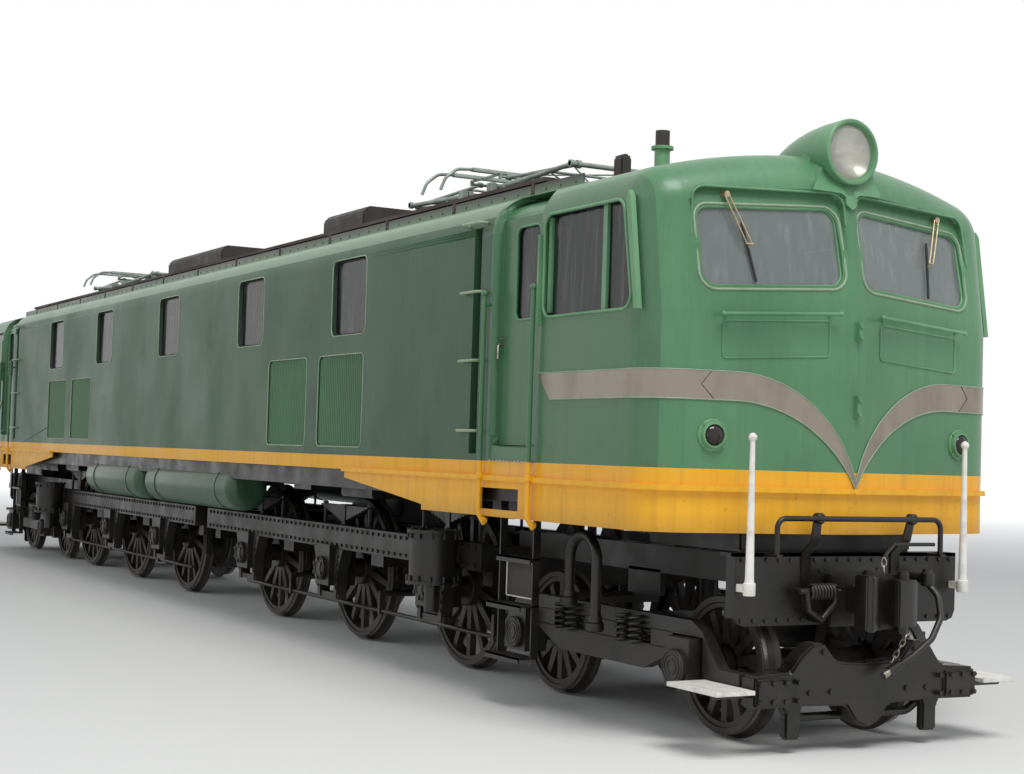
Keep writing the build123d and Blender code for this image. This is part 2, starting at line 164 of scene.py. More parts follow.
def enamel(name, body, pale, yellow_sill=False, side_dirt_and_shade=0.0, soot=0.0, gloss=True):
    """Brushed enamel over filled steel plate, yellow below the sill line where that is asked for.
    Its eye effect: broad cloudy fading, fine upright rain streaks, darkening on the sides that is partly brake dust
    and partly painted shade, and soot over the roof."""
    material, tree, shader, place = blank(name)
    axes = split(tree, place)
    clouds = noise(tree, place, 1.1, 5.0, (1, 1, 0.7))
    streaks = noise(tree, place, 16.0, 3.0, (1, 1, 0.035))
    fine = noise(tree, place, 60.0, 2.0, (1, 1, 0.05))
    colour = mix(tree, ramp(tree, clouds, 0.35, 0.7), body, pale)
    side = math_node(tree, "GREATER_THAN", math_node(tree, "ABSOLUTE", axes.outputs["Y"]), SIDE_Y - 0.09)
    # Sides darker: partly brake dust, partly painted shade on the faces that look sideways
    side_dust_and_shade = times(tree, side, ramp(tree, clouds, 0.3, 0.6, 0.45, 1.0))
    colour = mix(tree, times(tree, side_dust_and_shade, side_dirt_and_shade), colour, "33483a")
    wet = times(tree, ramp(tree, streaks, 0.5, 0.72), 0.16 if gloss else 0.4)
    colour = mix(tree, wet, colour, "3a4a3e")
    colour = mix(tree, times(tree, ramp(tree, fine, 0.55, 0.78), 0.08), colour, "8fa68e")
    blotches = times(tree, ramp(tree, noise(tree, place, 3.2, 6.0), 0.6, 0.72), 0.5 * side_dirt_and_shade)
    colour = mix(tree, times(tree, blotches, side), colour, "2f3a31")
    if soot:
        black = ramp(tree, axes.outputs["Z"], RAIL + 3.53, RAIL + 3.60)
        colour = mix(tree, times(tree, black, soot), colour, "2a2624")
    if yellow_sill:
        below = math_node(tree, "LESS_THAN", axes.outputs["Z"], SILL_LINE_Z)
        orange = mix(tree, ramp(tree, streaks, 0.5, 0.8, 0.0, 0.45), "efae1e", "bd841d")
        colour = mix(tree, below, colour, orange)
    shine(tree, shader, Base_Color=colour, Roughness=ramp(tree, clouds, 0.3, 0.7, 0.28, 0.5),
          Coat_Weight=0.15 if gloss else 0.0, Specular_IOR_Level=0.4 if gloss else 0.22)
    bump(tree, shader, noise(tree, place, 2.4, 1.0), 0.10, 0.02)
    return material


def yellow_paint():
    """Orange-yellow enamel of the skirts. Its eye effect: brown runs and a grimy lower edge."""
    material, tree, shader, place = blank("yellow_enamel")
    axes = split(tree, place)
    streaks = noise(tree, place, 14.0, 4.0, (1, 1, 0.08))
    spots = noise(tree, place, 22.0, 5.0)
    colour = mix(tree, ramp(tree, streaks, 0.46, 0.75, 0.0, 0.35), "f2b11e", "bd841d")
    grime = ramp(tree, axes.outputs["Z"], RAIL + 1.40, RAIL + 1.26, 0.0, 0.35)
    colour = mix(tree, grime, colour, "6b5230")
    colour = mix(tree, ramp(tree, spots, 0.64, 0.76, 0.0, 0.4), colour, "5c4426")
    shine(tree, shader, Base_Color=colour, Roughness=ramp(tree, spots, 0.3, 0.7, 0.35, 0.6))
    return material


def running_gear(name, body, dust, roughness, rust=0.25):
    """Black running gear paint. Its eye effect: grey-brown brake dust that lies in clouds, with
    brown rust where it has flaked."""
    material, tree, shader, place = blank(name)
    clouds = noise(tree, place, 4.0, 6.0)
    grit = noise(tree, place, 70.0, 4.0)
    axes = split(tree, place)
    low = ramp(tree, axes.outputs["Z"], RAIL + 1.3, RAIL + 0.2, 0.25, 1.0)
    colour = mix(tree, times(tree, ramp(tree, clouds, 0.36, 0.68), low), body, dust)
    colour = mix(tree, times(tree, ramp(tree, grit, 0.6, 0.72), rust), colour, "5a3a26")
    shine(tree, shader, Base_Color=colour,
          Roughness=ramp(tree, clouds, 0.3, 0.7, roughness - 0.15, roughness + 0.15))
    bump(tree, shader, grit, 0.25, 0.002)
    return material


def stained(name, base, stain, roughness, metallic=0.0, per_metre=8.0, amount=0.6, stretch=(1, 1, 1)):
    """Paint, metal or glaze with cloudy stains. Its eye effect: an even colour, dulled in places."""
    material, tree, shader, place = blank(name)
    clouds = noise(tree, place, per_metre, 5.0, stretch)
    colour = mix(tree, ramp(tree, clouds, 0.45, 0.72, 0.0, amount), base, stain)
    shine(tree, shader, Base_Color=colour, Metallic=metallic,
          Roughness=ramp(tree, clouds, 0.3, 0.7, roughness * 0.75, roughness * 1.25))
    return material


def window_pane():
    """Toughened glass. Its eye effect: dark at the sides, and clearer in the windscreens ahead, whose paler grey is a
    painted reflection of the sky; with streaks of dried rain."""
    material, tree, shader, place = blank("window_glass")
    streaks = noise(tree, place, 22.0, 2.0, (1, 1, 0.06))
    ahead = ramp(tree, math_node(tree, "ABSOLUTE", split(tree, place).outputs["X"]), 9.12, 9.16)
    # Pale grey base in the windscreens: a painted reflection of the sky
    colour = mix(tree, ahead, "2b2f31", "8b9492")
    colour = mix(tree, ramp(tree, streaks, 0.5, 0.7, 0.0, 0.35), colour, "b4bab8")
    shine(tree, shader, Base_Color=colour, Roughness=ramp(tree, streaks, 0.45, 0.75, 0.03, 0.3),
          Transmission_Weight=ramp(tree, ahead, 0.0, 1.0, 0.7, 0.25), Alpha=ramp(tree, ahead, 0.0, 1.0, 0.88, 0.62),
          Specular_IOR_Level=ramp(tree, ahead, 0.0, 1.0, 0.12, 0.5))
    return material


def fluted_lens():
    """Pressed lamp glass. Its eye effect: grey and glittering, with fine upright flutes."""
    material, tree, shader, place = blank("lamp_glass")
    flutes = node(tree, "ShaderNodeTexWave", {"bands_direction": "Y"}, Vector=place, Scale=38.0, Distortion=0.6)
    shine(tree, shader, Base_Color=linear("d8d8d2"), Roughness=0.08, Transmission_Weight=0.7, Alpha=0.45)
    bump(tree, shader, flutes.outputs["Fac"], 0.5, 0.004)
    return material


GREEN = enamel("green_enamel", "467650", "5b8c63", yellow_sill=True, side_dirt_and_shade=0.42)
# Darker copy of the body green for the side walls: painted shade on the sides
GREEN_SIDE_SHADED = enamel("green_enamel_side_painted_shade", "375f42", "47704e", yellow_sill=True, side_dirt_and_shade=0.6, gloss=False)
# Paler green of the roof: partly pale dust, partly painted light on the faces that look up
GREEN_ROOF_DUST_AND_LIGHT = enamel("green_enamel_roof_dust_and_painted_light", "557d59", "86a883", side_dirt_and_shade=0.3, soot=0.93)
GREEN_BARE = enamel("green_enamel_small", "4a7d55", "74a478")
# Darker green of the grilles on the sides: painted shade, like the side walls
LOUVRE_SHADED = enamel("louvre_green_painted_shade", "356540", "487b50")
# Pale green for thin rounded edges, lips, rims and rungs: painted highlight
GREEN_EDGE_HIGHLIGHT = stained("green_enamel_edge_highlight", "8fa387", "72876d", 0.4, per_metre=9.0)
TANK_GREEN = enamel("tank_green", "34523c", "456850", side_dirt_and_shade=0.5)
TAIL_LENS = stained("tail_lamp_glass", "1d1413", "0c0a0b", 0.1, per_metre=12.0)
YELLOW = yellow_paint()
GEAR = running_gear("running_gear", "121110", "2a2723", roughness=0.38)
FRAME = running_gear("truck_paint", "171615", "342f2a", roughness=0.42, rust=0.3)
WHEEL = running_gear("wheel_steel", "1f1c1a", "463c34", roughness=0.48, rust=0.5)
PLANK = stained("roof_planks", "3a2c25", "1e1714", 0.7, per_metre=14.0, amount=0.8, stretch=(0.1, 1, 1))
ROOF_GEAR = stained("roof_paint", "26211f", "4a423c", 0.6)
WHITE = stained("white_paint", "eceae2", "a59f92", 0.45, per_metre=12.0, amount=0.5)
STEEL = stained("grey_steel", "8f9a93", "5c5f58", 0.42, metallic=0.35, per_metre=10.0)
TRIM = stained("stainless_trim", "948b7f", "6f675d", 0.34, metallic=0.75, per_metre=5.0, amount=0.5,
               stretch=(1, 1, 0.4))
BRIGHT = stained("worn_steel", "a8a49c", "6b5f52", 0.3, metallic=0.9, per_metre=30.0)
BRASS = stained("tinned_brass", "b7a684", "7c6c4e", 0.35, metallic=0.6, per_metre=30.0)
PORCELAIN = stained("porcelain", "cfc9bb", "7f776a", 0.22, per_metre=9.0)
RUBBER = stained("rubber", "151515", "2c2b29", 0.6, per_metre=20.0)
CANVAS = stained("curtain_cloth", "241b1e", "171214", 0.95, per_metre=18.0, stretch=(1, 1, 0.1))
LEATHER = stained("seat_leather", "2e3a34", "1c2320", 0.5, per_metre=12.0)
CAB_GREEN = stained("cab_green", "7f9a83", "55685a", 0.5, per_metre=4.0)
REFLECTOR = stained("lamp_reflector", "d9d5cc", "8f8a80", 0.2, metallic=1.0, per_metre=20.0)
GLASS = window_pane()
LENS = fluted_lens()

# First key found in a node's name decides its material
LOOK = {"side_": GREEN_SIDE_SHADED, "cab": GREEN, "door": GREEN, "roof_insulators": PORCELAIN, "walkways": PLANK,
        "monitors": ROOF_GEAR, "roof": GREEN_ROOF_DUST_AND_LIGHT, "headlights": GREEN_BARE, "skirt": YELLOW, "glass": GLASS,
        "poles": WHITE, "pantograph": STEEL, "arm": STEEL, "collector": STEEL, "wheelset": WHEEL, "truck": FRAME,
        "leading": FRAME, "bulkheads": CAB_GREEN, "machinery": STEEL}
for name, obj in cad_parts.items():
    key = next((word for word in LOOK if word in name), None)
    obj.data.materials.clear()
    obj.data.materials.append(LOOK[key] if key else GEAR)


# Pieces: helpers
def circle(radius, count, start=0.0):
    """Pairs of numbers round a circle, from an angle in degrees."""
    angles = [math.radians(start) + 2 * math.pi * k / count for k in range(count)]
    return [(radius * math.cos(a), radius * math.sin(a)) for a in angles]


def keep(obj, material, body="body"):
    """Link a finished piece, give it its material and let it ride on a body."""
    if obj.name not in bpy.context.scene.collection.objects:
        bpy.context.scene.collection.objects.link(obj)
    if not obj.data.materials:
        obj.data.materials.append(material)
    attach(obj, body)
    return obj


def from_bmesh(name, mesh, material, body="body", crease=30):
    """Piece from a bmesh, shaded smooth but for edges sharper than crease degrees."""
    data = bpy.data.meshes.new(name)
    bmesh.ops.recalc_face_normals(mesh, faces=mesh.faces)
    mesh.to_mesh(data)
    mesh.free()
    data.shade_smooth()
    data.set_sharp_from_angle(angle=math.radians(crease))
    return keep(bpy.data.objects.new(name, data), material, body)


def block(mesh, low, high):
    """Box between two corners, added to a bmesh."""
    made = bmesh.ops.create_cube(mesh, size=1.0)["verts"]
    size = [abs(b - a) for a, b in zip(low, high)]
    centre = [(a + b) / 2 for a, b in zip(low, high)]
    bmesh.ops.scale(mesh, vec=size, verts=made)
    bmesh.ops.translate(mesh, vec=centre, verts=made)


def sweep(mesh, points, radius, closed=False, sides=8):
    """Round bar through points, added to a bmesh; radius is one number, or one for each point."""
    count = len(points)
    radii = list(radius) if isinstance(radius, (tuple, list)) else [radius] * count
    points = [Vector(p) for p in points]
    rings = []
    side = None
    for i, point in enumerate(points):
        before = points[i - 1] if closed or i > 0 else points[0]
        after = points[(i + 1) % count] if closed or i < count - 1 else points[-1]
        along = (after - before).normalized()
        if side is None:
            side = along.orthogonal().normalized()
        side = (side - along * side.dot(along)).normalized()
        other = along.cross(side)
        rings.append([mesh.verts.new(point + a * side + b * other) for a, b in circle(radii[i], sides)])
    for i in range(count if closed else count - 1):
        here, there = rings[i], rings[(i + 1) % count]
        shift = 0
        if closed and i == count - 1:
            shift = min(range(sides), key=lambda s: (here[0].co - there[s].co).length)
        for k in range(sides):
            n = k + 1
            mesh.faces.new((here[k], here[n % sides], there[(n + shift) % sides], there[(k + shift) % sides]))
    if not closed:
        mesh.faces.new(rings[0])
        mesh.faces.new(rings[-1])


def bars(name, lines, radius, material, body="body", closed=False, sides=8):
    """One piece of round bars, one for each line of points."""
    mesh = bmesh.new()
    for line in lines:
        sweep(mesh, line, radius, closed, sides)
    return from_bmesh(name, mesh, material, body, crease=60)


def break_edges(mesh, edges, width, segments=2):
    bmesh.ops.bevel(mesh, geom=edges, offset=width, segments=segments, affect="EDGES", clamp_overlap=True)


def blocks(name, boxes, material, body="body", bevel=0.0, segments=2, crease=30):
    """One piece of boxes, each a pair of corners, with their edges broken by bevel."""
    mesh = bmesh.new()
    for low, high in boxes:
        block(mesh, low, high)
    if bevel:
        break_edges(mesh, mesh.edges[:], bevel, segments)
    return from_bmesh(name, mesh, material, body, crease)


def rounded(corners, radius, steps=5):
    """Closed outline through 2-D corners, with each corner rounded."""
    out = []
    count = len(corners)
    for i, corner in enumerate(corners):
        here = Vector(corner)
        a = (Vector(corners[i - 1]) - here).normalized()
        b = (Vector(corners[(i + 1) % count]) - here).normalized()
        half = a.angle(b) / 2
        reach = radius / math.tan(half)
        centre = here + (a + b).normalized() * radius / math.sin(half)
        start = here + a * reach - centre
        finish = here + b * reach - centre
        for k in range(steps + 1):
            mixed = start.lerp(finish, k / steps).normalized() * radius
            out.append(tuple(centre + mixed))
    return out


def rectangle(centre, size):
    (x, z), (w, h) = centre, (size[0] / 2, size[1] / 2)
    return [(x - w, z - h), (x + w, z - h), (x + w, z + h), (x - w, z + h)]


def rows(low, high, count):
    """Evenly spaced numbers from low to high."""
    return [low + (high - low) * k / (count - 1) for k in range(count)]


def evaluated(obj):
    """Mesh of an object with its modifiers applied."""
    bpy.context.view_layer.update()
    return bpy.data.meshes.new_from_object(obj.evaluated_get(bpy.context.evaluated_depsgraph_get()))


def scatter(name, places, axis, radius, thick, material, body="body", corners=6):
    """Bolt or rivet heads standing on the places along an axis, made by geometry nodes; those
    with six corners are each spun by a random angle."""
    data = bpy.data.meshes.new(name + "_places")
    data.from_pydata([tuple(p) for p in places], [], [])
    holder = bpy.data.objects.new(name + "_places", data)
    bpy.context.scene.collection.objects.link(holder)
    tree = bpy.data.node_groups.new(name, "GeometryNodeTree")
    tree.interface.new_socket("Geometry", in_out="INPUT", socket_type="NodeSocketGeometry")
    tree.interface.new_socket("Geometry", in_out="OUTPUT", socket_type="NodeSocketGeometry")
    radius_socket = tree.interface.new_socket("Head radius", in_out="INPUT", socket_type="NodeSocketFloat")
    thick_socket = tree.interface.new_socket("Head height", in_out="INPUT", socket_type="NodeSocketFloat")
    inside = node(tree, "NodeGroupInput")
    head = node(tree, "GeometryNodeMeshCylinder", Vertices=corners, Radius=inside.outputs["Head radius"],
                Depth=inside.outputs["Head height"])
    rotation = tuple(Vector(axis).to_track_quat("Z", "Y").to_euler())
    if corners == 6:
        spin = node(tree, "FunctionNodeRandomValue", {"data_type": "FLOAT"}, Min=0.0, Max=6.28, Seed=1)
        rotation = node(tree, "FunctionNodeRotateEuler", {"rotation_type": "AXIS_ANGLE", "space": "LOCAL"},
                        Rotation=rotation, Axis=(0, 0, 1), Angle=spin.outputs[1]).outputs[0]
    spread = node(tree, "GeometryNodeInstanceOnPoints", Points=inside.outputs["Geometry"],
                  Instance=head.outputs["Mesh"], Rotation=rotation)
    solid = node(tree, "GeometryNodeRealizeInstances", Geometry=spread.outputs[0])
    painted = node(tree, "GeometryNodeSetMaterial", Geometry=solid.outputs[0], Material=material)
    node(tree, "NodeGroupOutput", Geometry=painted.outputs[0])
    modifier = holder.modifiers.new("heads", "NODES")
    modifier.node_group = tree
    modifier[radius_socket.identifier] = radius
    modifier[thick_socket.identifier] = thick
    made = evaluated(holder)
    made.name = name
    bpy.data.objects.remove(holder)
    return keep(bpy.data.objects.new(name, made), material, body)


def coil(start, finish, radius, turns):
    """Points of a helical spring between two points."""
    a, b = Vector(start), Vector(finish)
    along = (b - a).normalized()
    side = along.orthogonal().normalized()
    other = along.cross(side)
    steps = int(turns * 14)
    out = []
    for k in range(steps + 1):
        angle = 2 * math.pi * turns * k / steps
        out.append(a.lerp(b, k / steps) + radius * (math.cos(angle) * side + math.sin(angle) * other))
    return out





# Surfaces of the body that pieces are set on
def nose_x(y, z, depth=0.0):
    """X of the nose's skin at y and z, or of a surface that lies depth behind it."""
    return NOSE_X - abs(y) * SWEEP - max(0.0, z - CREASE_Z) * LEAN - depth


def screen_x(y, z):
    """X of the windscreen's outer face, which stands steeper than the skin over it."""
    return nose_x(y, z, 0.010 + 0.060 * (z - RAIL - 2.700) / 0.720)


# Large forms: each is drawn for the front end in millimetres above the rail head
MM = 0.001
AHEAD, ACROSS, UP = (1, 0, 0), (0, 1, 0), (0, 0, 1)


def skin_x(y, z):
    """X of the nose's skin, in the millimetres of the large forms."""
    return 1000 * nose_x(y * MM, z * MM + RAIL)


def loft(mesh, rings):
    """Closed solid through rings of as many points each."""
    rings = [[mesh.verts.new(p) for p in ring] for ring in rings]
    mesh.faces.new(rings[0])
    mesh.faces.new(rings[-1])
    for a, b in zip(rings, rings[1:]):
        for k in range(len(a)):
            n = (k + 1) % len(a)
            mesh.faces.new((a[k], a[n], b[n], b[k]))


def prism(mesh, outline, axis, low, high):
    """Outline extruded along an axis; its points are (y, z) for X, (x, z) for Y and (x, y) for Z."""
    loft(mesh, [[((level, a, b), (a, level, b), (a, b, level))[axis] for a, b in outline] for level in (low, high)])


def box(mesh, x0, x1, y0, y1, z0, z1):
    prism(mesh, ((x0, y0), (x1, y0), (x1, y1), (x0, y1)), 2, z0, z1)


def rod(mesh, start, finish, radius, sides=14):
    """Round bar between two points, or a cone where radius is a pair."""
    sweep(mesh, (start, finish), radius, sides=sides)


def bent(points, bend):
    """Line of points with each corner rounded to a radius."""
    steps = 5
    points = [Vector(p) for p in points]
    out = [points[0]]
    for before, here, after in zip(points, points[1:], points[2:]):
        a, b = before - here, after - here
        half = a.angle(b) / 2
        reach = min(bend / math.tan(half), 0.48 * a.length, 0.48 * b.length)
        a.normalize()
        b.normalize()
        radius = reach * math.tan(half)
        centre = here + (a + b).normalized() * radius / math.sin(half)
        start, finish = here + a * reach - centre, here + b * reach - centre
        out += [centre + start.lerp(finish, k / steps).normalized() * radius for k in range(steps + 1)]
    return out + [points[-1]]


def pipe(mesh, points, bend, radius, sides=12):
    sweep(mesh, bent(points, bend), radius, sides=sides)


def lathe(mesh, profile, centre, axis, sides=48, closed=False):
    """Profile of (along, radius) points turned round an axis through centre."""
    axis, centre = Vector(axis).normalized(), Vector(centre)
    side = axis.orthogonal().normalized()
    other = axis.cross(side)
    rings = []
    for along, radius in profile:
        spots = circle(radius, sides if radius else 1)
        rings.append([mesh.verts.new(centre + along * axis + a * side + b * other) for a, b in spots])
    pairs = list(zip(rings, rings[1:])) + ([(rings[-1], rings[0])] if closed else [])
    for a, b in pairs:
        for k in range(sides):
            n = (k + 1) % sides
            corners = (a[k % len(a)], a[n % len(a)], b[n % len(b)], b[k % len(b)])
            mesh.faces.new(list(dict.fromkeys(corners)))


def to_frame(mesh, way):
    """From millimetres above the rail head to the frame, turned half round for the rear end."""
    bmesh.ops.translate(mesh, vec=(0, 0, RAIL / MM), verts=mesh.verts)
    bmesh.ops.scale(mesh, vec=(way * MM, way * MM, MM), verts=mesh.verts)


def piece(name, build, material, body="body", replaced="", bevel=0.0, crease=35, way=1):
    """The piece that build draws, with sharp edges broken by bevel; it may stand for a CAD node."""
    mesh = bmesh.new()
    build(mesh)
    if bevel:
        bmesh.ops.recalc_face_normals(mesh, faces=mesh.faces)
        sharp = [e for e in mesh.edges if len(e.link_faces) == 2 and e.calc_face_angle() > 0.6]
        break_edges(mesh, sharp, bevel)
    to_frame(mesh, way)
    made = from_bmesh(name, mesh, material, body, crease)
    if replaced:
        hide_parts(replaced)


def both_ends(name, build, material, body="body", replaced="", bevel=0.0, crease=35):
    """The piece that build draws at the front end, and the same turned half round at the rear."""
    for end, way in ENDS:
        piece(f"{end}_{name}", build, material, body.format(end=end), replaced.format(end=end), bevel, crease, way)


def recut(node_name, build, material):
    """Copy of a CAD wall with recesses cut into it, which stands for the wall."""
    pair = []
    for mesh_name in ("wall", "tool"):
        mesh = bmesh.new()
        if mesh_name == "wall":
            mesh.from_mesh(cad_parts[node_name].data)
            mesh.transform(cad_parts[node_name].matrix_world)
            bmesh.ops.remove_doubles(mesh, verts=mesh.verts, dist=0.00005)
        else:
            build(mesh)
            to_frame(mesh, -1 if node_name.startswith("rear") else 1)
            bmesh.ops.recalc_face_normals(mesh, faces=mesh.faces)
        data = bpy.data.meshes.new(mesh_name)
        mesh.to_mesh(data)
        mesh.free()
        pair.append(bpy.data.objects.new(mesh_name, data))
        bpy.context.scene.collection.objects.link(pair[-1])
    cut = pair[0].modifiers.new("recesses", "BOOLEAN")
    cut.operation, cut.solver, cut.object = "DIFFERENCE", "EXACT", pair[1]
    data = evaluated(pair[0])
    for obj in pair:
        bpy.data.objects.remove(obj)
    data.materials.clear()
    data.shade_smooth()
    data.set_sharp_from_angle(angle=math.radians(28))
    # Normals weighted by face area keep the large flat faces evenly shaded
    holder = bpy.data.objects.new(f"{node_name}_holder", data)
    bpy.context.scene.collection.objects.link(holder)
    even = holder.modifiers.new("even", "WEIGHTED_NORMAL")
    even.keep_sharp, even.weight = True, 100
    data = evaluated(holder)
    bpy.data.objects.remove(holder)
    made = keep(bpy.data.objects.new(f"{node_name}_shell", data), material)
    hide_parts(node_name)


# Walls: grille recesses and channels for the rungs in the sides, and a recess over each windscreen
WALL_Y = 1000 * SIDE_Y
GRILLES = ((-4700, 935), (-3510, 920), (3510, 920), (4700, 935))    # X of the middle, and length
GRILLE_Z = (1720, 2486)
GRILLE_BACK = WALL_Y - 45
RIBS = 24
BROW_Z, BROW_SLOPE = 3000, 0.15     # where the recess starts, and how fast it deepens above that


def side_cuts(mesh):
    for y in (-1, 1):
        for x, length in GRILLES:
            outline = rounded(rectangle((x, sum(GRILLE_Z) / 2), (length, GRILLE_Z[1] - GRILLE_Z[0])), 55)
            prism(mesh, outline, 1, y * GRILLE_BACK, y * (WALL_Y + 40))
        for x in (-7150, 7040):
            box(mesh, x, x + 110, y * (WALL_Y - 55), y * (WALL_Y + 40), 1700, 3300)


def brow_cuts(mesh):
    """Recess over each windscreen, which deepens from about the pane's middle up to the brow's edge."""
    for y in (-1, 1):
        corners = rounded([(46, 2600), (46, 3402), (1092, 3366), (1150, 2600)], 88)
        outline = [(46, 2990), (1122, 2990)] + [p for p in corners if p[1] > 3100][::-1]
        back = [(skin_x(a, z) - BROW_SLOPE * (z - BROW_Z) + 2, y * a, z) for a, z in outline]
        loft(mesh, (back, [(9800, y * a, z) for a, z in outline]))


def grille(mesh):
    """Backing and upright ribs of all the air grilles."""
    rib = ((-15, 3), (15, 3), (9, 30), (4, 36), (-4, 36), (-9, 30))
    low, high = GRILLE_Z
    for y in (-1, 1):
        for x, length in GRILLES:
            half = length / 2 - 2
            box(mesh, x - half, x + half, y * (GRILLE_BACK - 4), y * (GRILLE_BACK + 4), low + 2, high - 2)
            for number in range(RIBS):
                middle = x + (number - (RIBS - 1) / 2) * (length - 30) / RIBS
                inset = 22 if number in (0, RIBS - 1) else 5      # the outer ribs end at the rounded corners
                outline = [(middle + a, y * (GRILLE_BACK + b)) for a, b in rib]
                prism(mesh, outline, 2, low + inset, high - inset)


for hand, y in HANDS:
    recut(f"side_{hand}", side_cuts, GREEN_SIDE_SHADED)
for end, way in ENDS:
    recut(f"{end}_cab", brow_cuts, GREEN)
piece("side_grilles", grille, LOUVRE_SHADED, crease=30)

# Panes, set on a steeper plane at the windscreens
SIDE_WINDOWS = (-4830, -2520, 0, 2520, 4830)
WINDOW_Z = 2964
PANE_Y = (WALL_Y - 48, WALL_Y - 40)
CAB_PANE = rounded([(8020, 2600), (9110, 2600), (8985, 3300), (8020, 3300)], 80)
SCREEN_PANE = rounded([(82, 2806), (1071, 2748), (1071, 3249), (82, 3306)], 92)


def panes(mesh):
    for y in (-1, 1):
        for x in SIDE_WINDOWS:
            prism(mesh, rounded(rectangle((x, WINDOW_Z), (706, 644)), 70), 1, y * PANE_Y[0], y * PANE_Y[1])
        for way in (-1, 1):
            prism(mesh, [(way * x, z) for x, z in CAB_PANE], 1, y * PANE_Y[0], y * PANE_Y[1])
            loft(mesh, [[(way * (1000 * screen_x(a * MM, z * MM + RAIL) - depth), y * a, z) for a, z in SCREEN_PANE]
                        for depth in (0, 8)])


piece("panes", panes, GLASS, replaced="window_glass", crease=30)

# Stainless band, which runs level along the cab sides and sweeps down the nose
BAND = ((2068, 1552), (2243, 1602))     # level height and tip height of the lower and upper edge
BAND_SWEEP = 850                        # half width of the nose that the sweep takes up
BAND_BACK = 8157                        # where the band ends on the cab side
CORNER_R = 300                          # upright corner between nose and side


def skin_line():
    """Body outline from above, from the nose's tip round the corner to the cab side: place and outward normal."""
    vee = math.atan(SWEEP)
    square = math.pi / 2 - vee
    face, side = Vector((math.cos(vee), math.sin(vee))), Vector((0.0, 1.0))
    corner = Vector((1000 * NOSE_X - WALL_Y * SWEEP, WALL_Y))
    first = corner + CORNER_R * math.tan(square / 2) * Vector((math.sin(vee), -math.cos(vee)))
    centre = first - CORNER_R * face
    line = [(Vector((1000 * NOSE_X - y * SWEEP, y)), face) for y in rows(0, first.y, 26)]
    for share in rows(0, 1, 12)[1:]:
        normal = Vector((math.cos(vee + share * square), math.sin(vee + share * square)))
        line.append((centre + CORNER_R * normal, normal))
    return line + [(Vector((x, WALL_Y)), side) for x in rows(line[-1][0].x, BAND_BACK, 6)[1:]]


def sweep_z(y, level, tip):
    """Height of the band's edge across the nose, an arc that runs out level."""
    if y >= BAND_SWEEP:
        return level
    radius = (BAND_SWEEP ** 2 + (level - tip) ** 2) / (2 * (level - tip))
    return level - radius + math.sqrt(radius ** 2 - (BAND_SWEEP - y) ** 2)


def band_edges(out):
    """Points of both edges on each side, standing out from the skin; the upper edge runs further back."""
    edges = []
    line = skin_line()
    for y in (-1, 1):
        for number, (level, tip) in enumerate(BAND):
            points = []
            for index, (spot, normal) in enumerate(line):
                spot = spot + out * normal
                back = 167 if number and index == len(line) - 1 else 0
                points.append((spot.x - back, y * spot.y, sweep_z(spot.y, level, tip)))
            edges.append(points)
    return edges


def band(mesh):
    outer, inner = band_edges(6), band_edges(-4)
    for pair in (0, 2):
        lines = (outer[pair], outer[pair + 1], inner[pair + 1], inner[pair])
        strips = [[mesh.verts.new(p) for p in line] for line in lines]
        for a, b in zip(strips, strips[1:] + strips[:1]):
            for k in range(len(a) - 1):
                mesh.faces.new((a[k], a[k + 1], b[k + 1], b[k]))
        mesh.faces.new([s[0] for s in strips])
        mesh.faces.new([s[-1] for s in strips])


def band_rims(mesh):
    """Borders along both edges in pale green, a painted highlight, each with a stud at its back end."""
    for line in band_edges(5):
        x, y, z = line[-1]
        sweep(mesh, line, 4.5, sides=6)
        sweep(mesh, ((x, y, z), (x, y, z + 1)), 5, sides=6)


def band_joints(mesh):
    """Arrow-shaped joint in the band on each half of the nose."""
    for y in (-1, 1):
        points = [(1000 * NOSE_X - a * SWEEP + 6.5, y * a, z) for a, z in ((1010, 2240), (1075, 2160), (990, 2071))]
        sweep(mesh, points, 2.5, sides=6)


both_ends("trim_band", band, TRIM)
both_ends("trim_rims", band_rims, GREEN_EDGE_HIGHLIGHT, crease=70)
both_ends("trim_joints", band_joints, ROOF_GEAR, crease=70)

# Tail lamps, their lenses, and the headlights on their saddles
TAIL = (9389, 992, 1855)
LAMP_X, LAMP_Z, LAMP_R, LENS_R = 9450, 3672, 210, 182       # plane of the rim, height and radii
LAMP_BACK = 8600                                            # where the bullet shape ends


def tail_spun(mesh, profile, sides):
    """Profile turned round the axis of each tail lamp, which stands square on the nose."""
    vee = math.atan(SWEEP)
    for y in (-1, 1):
        lathe(mesh, profile, (TAIL[0], y * TAIL[1], TAIL[2]), (math.cos(vee), y * math.sin(vee), 0), sides)


def tail_lamps(mesh):
    tail_spun(mesh, [(-10, 98), (6, 98), (12, 92), (12, 82), (26, 80), (34, 76), (36, 66), (24, 62)], 48)
    for y in (-1, 1):
        for a, b in circle(90, 4, 45):
            x, across, z = TAIL[0] - a * SWEEP, y * (TAIL[1] + a), TAIL[2] + b
            rod(mesh, (x, across, z), (x + 20, across, z), 8, 8)


def tail_lenses(mesh):
    tail_spun(mesh, [(22, 64), (32, 60), (42, 46), (50, 25), (52, 0)], 32)


def lamp_spun(mesh, profile, sides):
    """Profile turned round the headlight's axis, with its places measured from the rim."""
    lathe(mesh, [(LAMP_X + a, r) for a, r in profile], (0, 0, LAMP_Z), (1, 0, 0), sides)


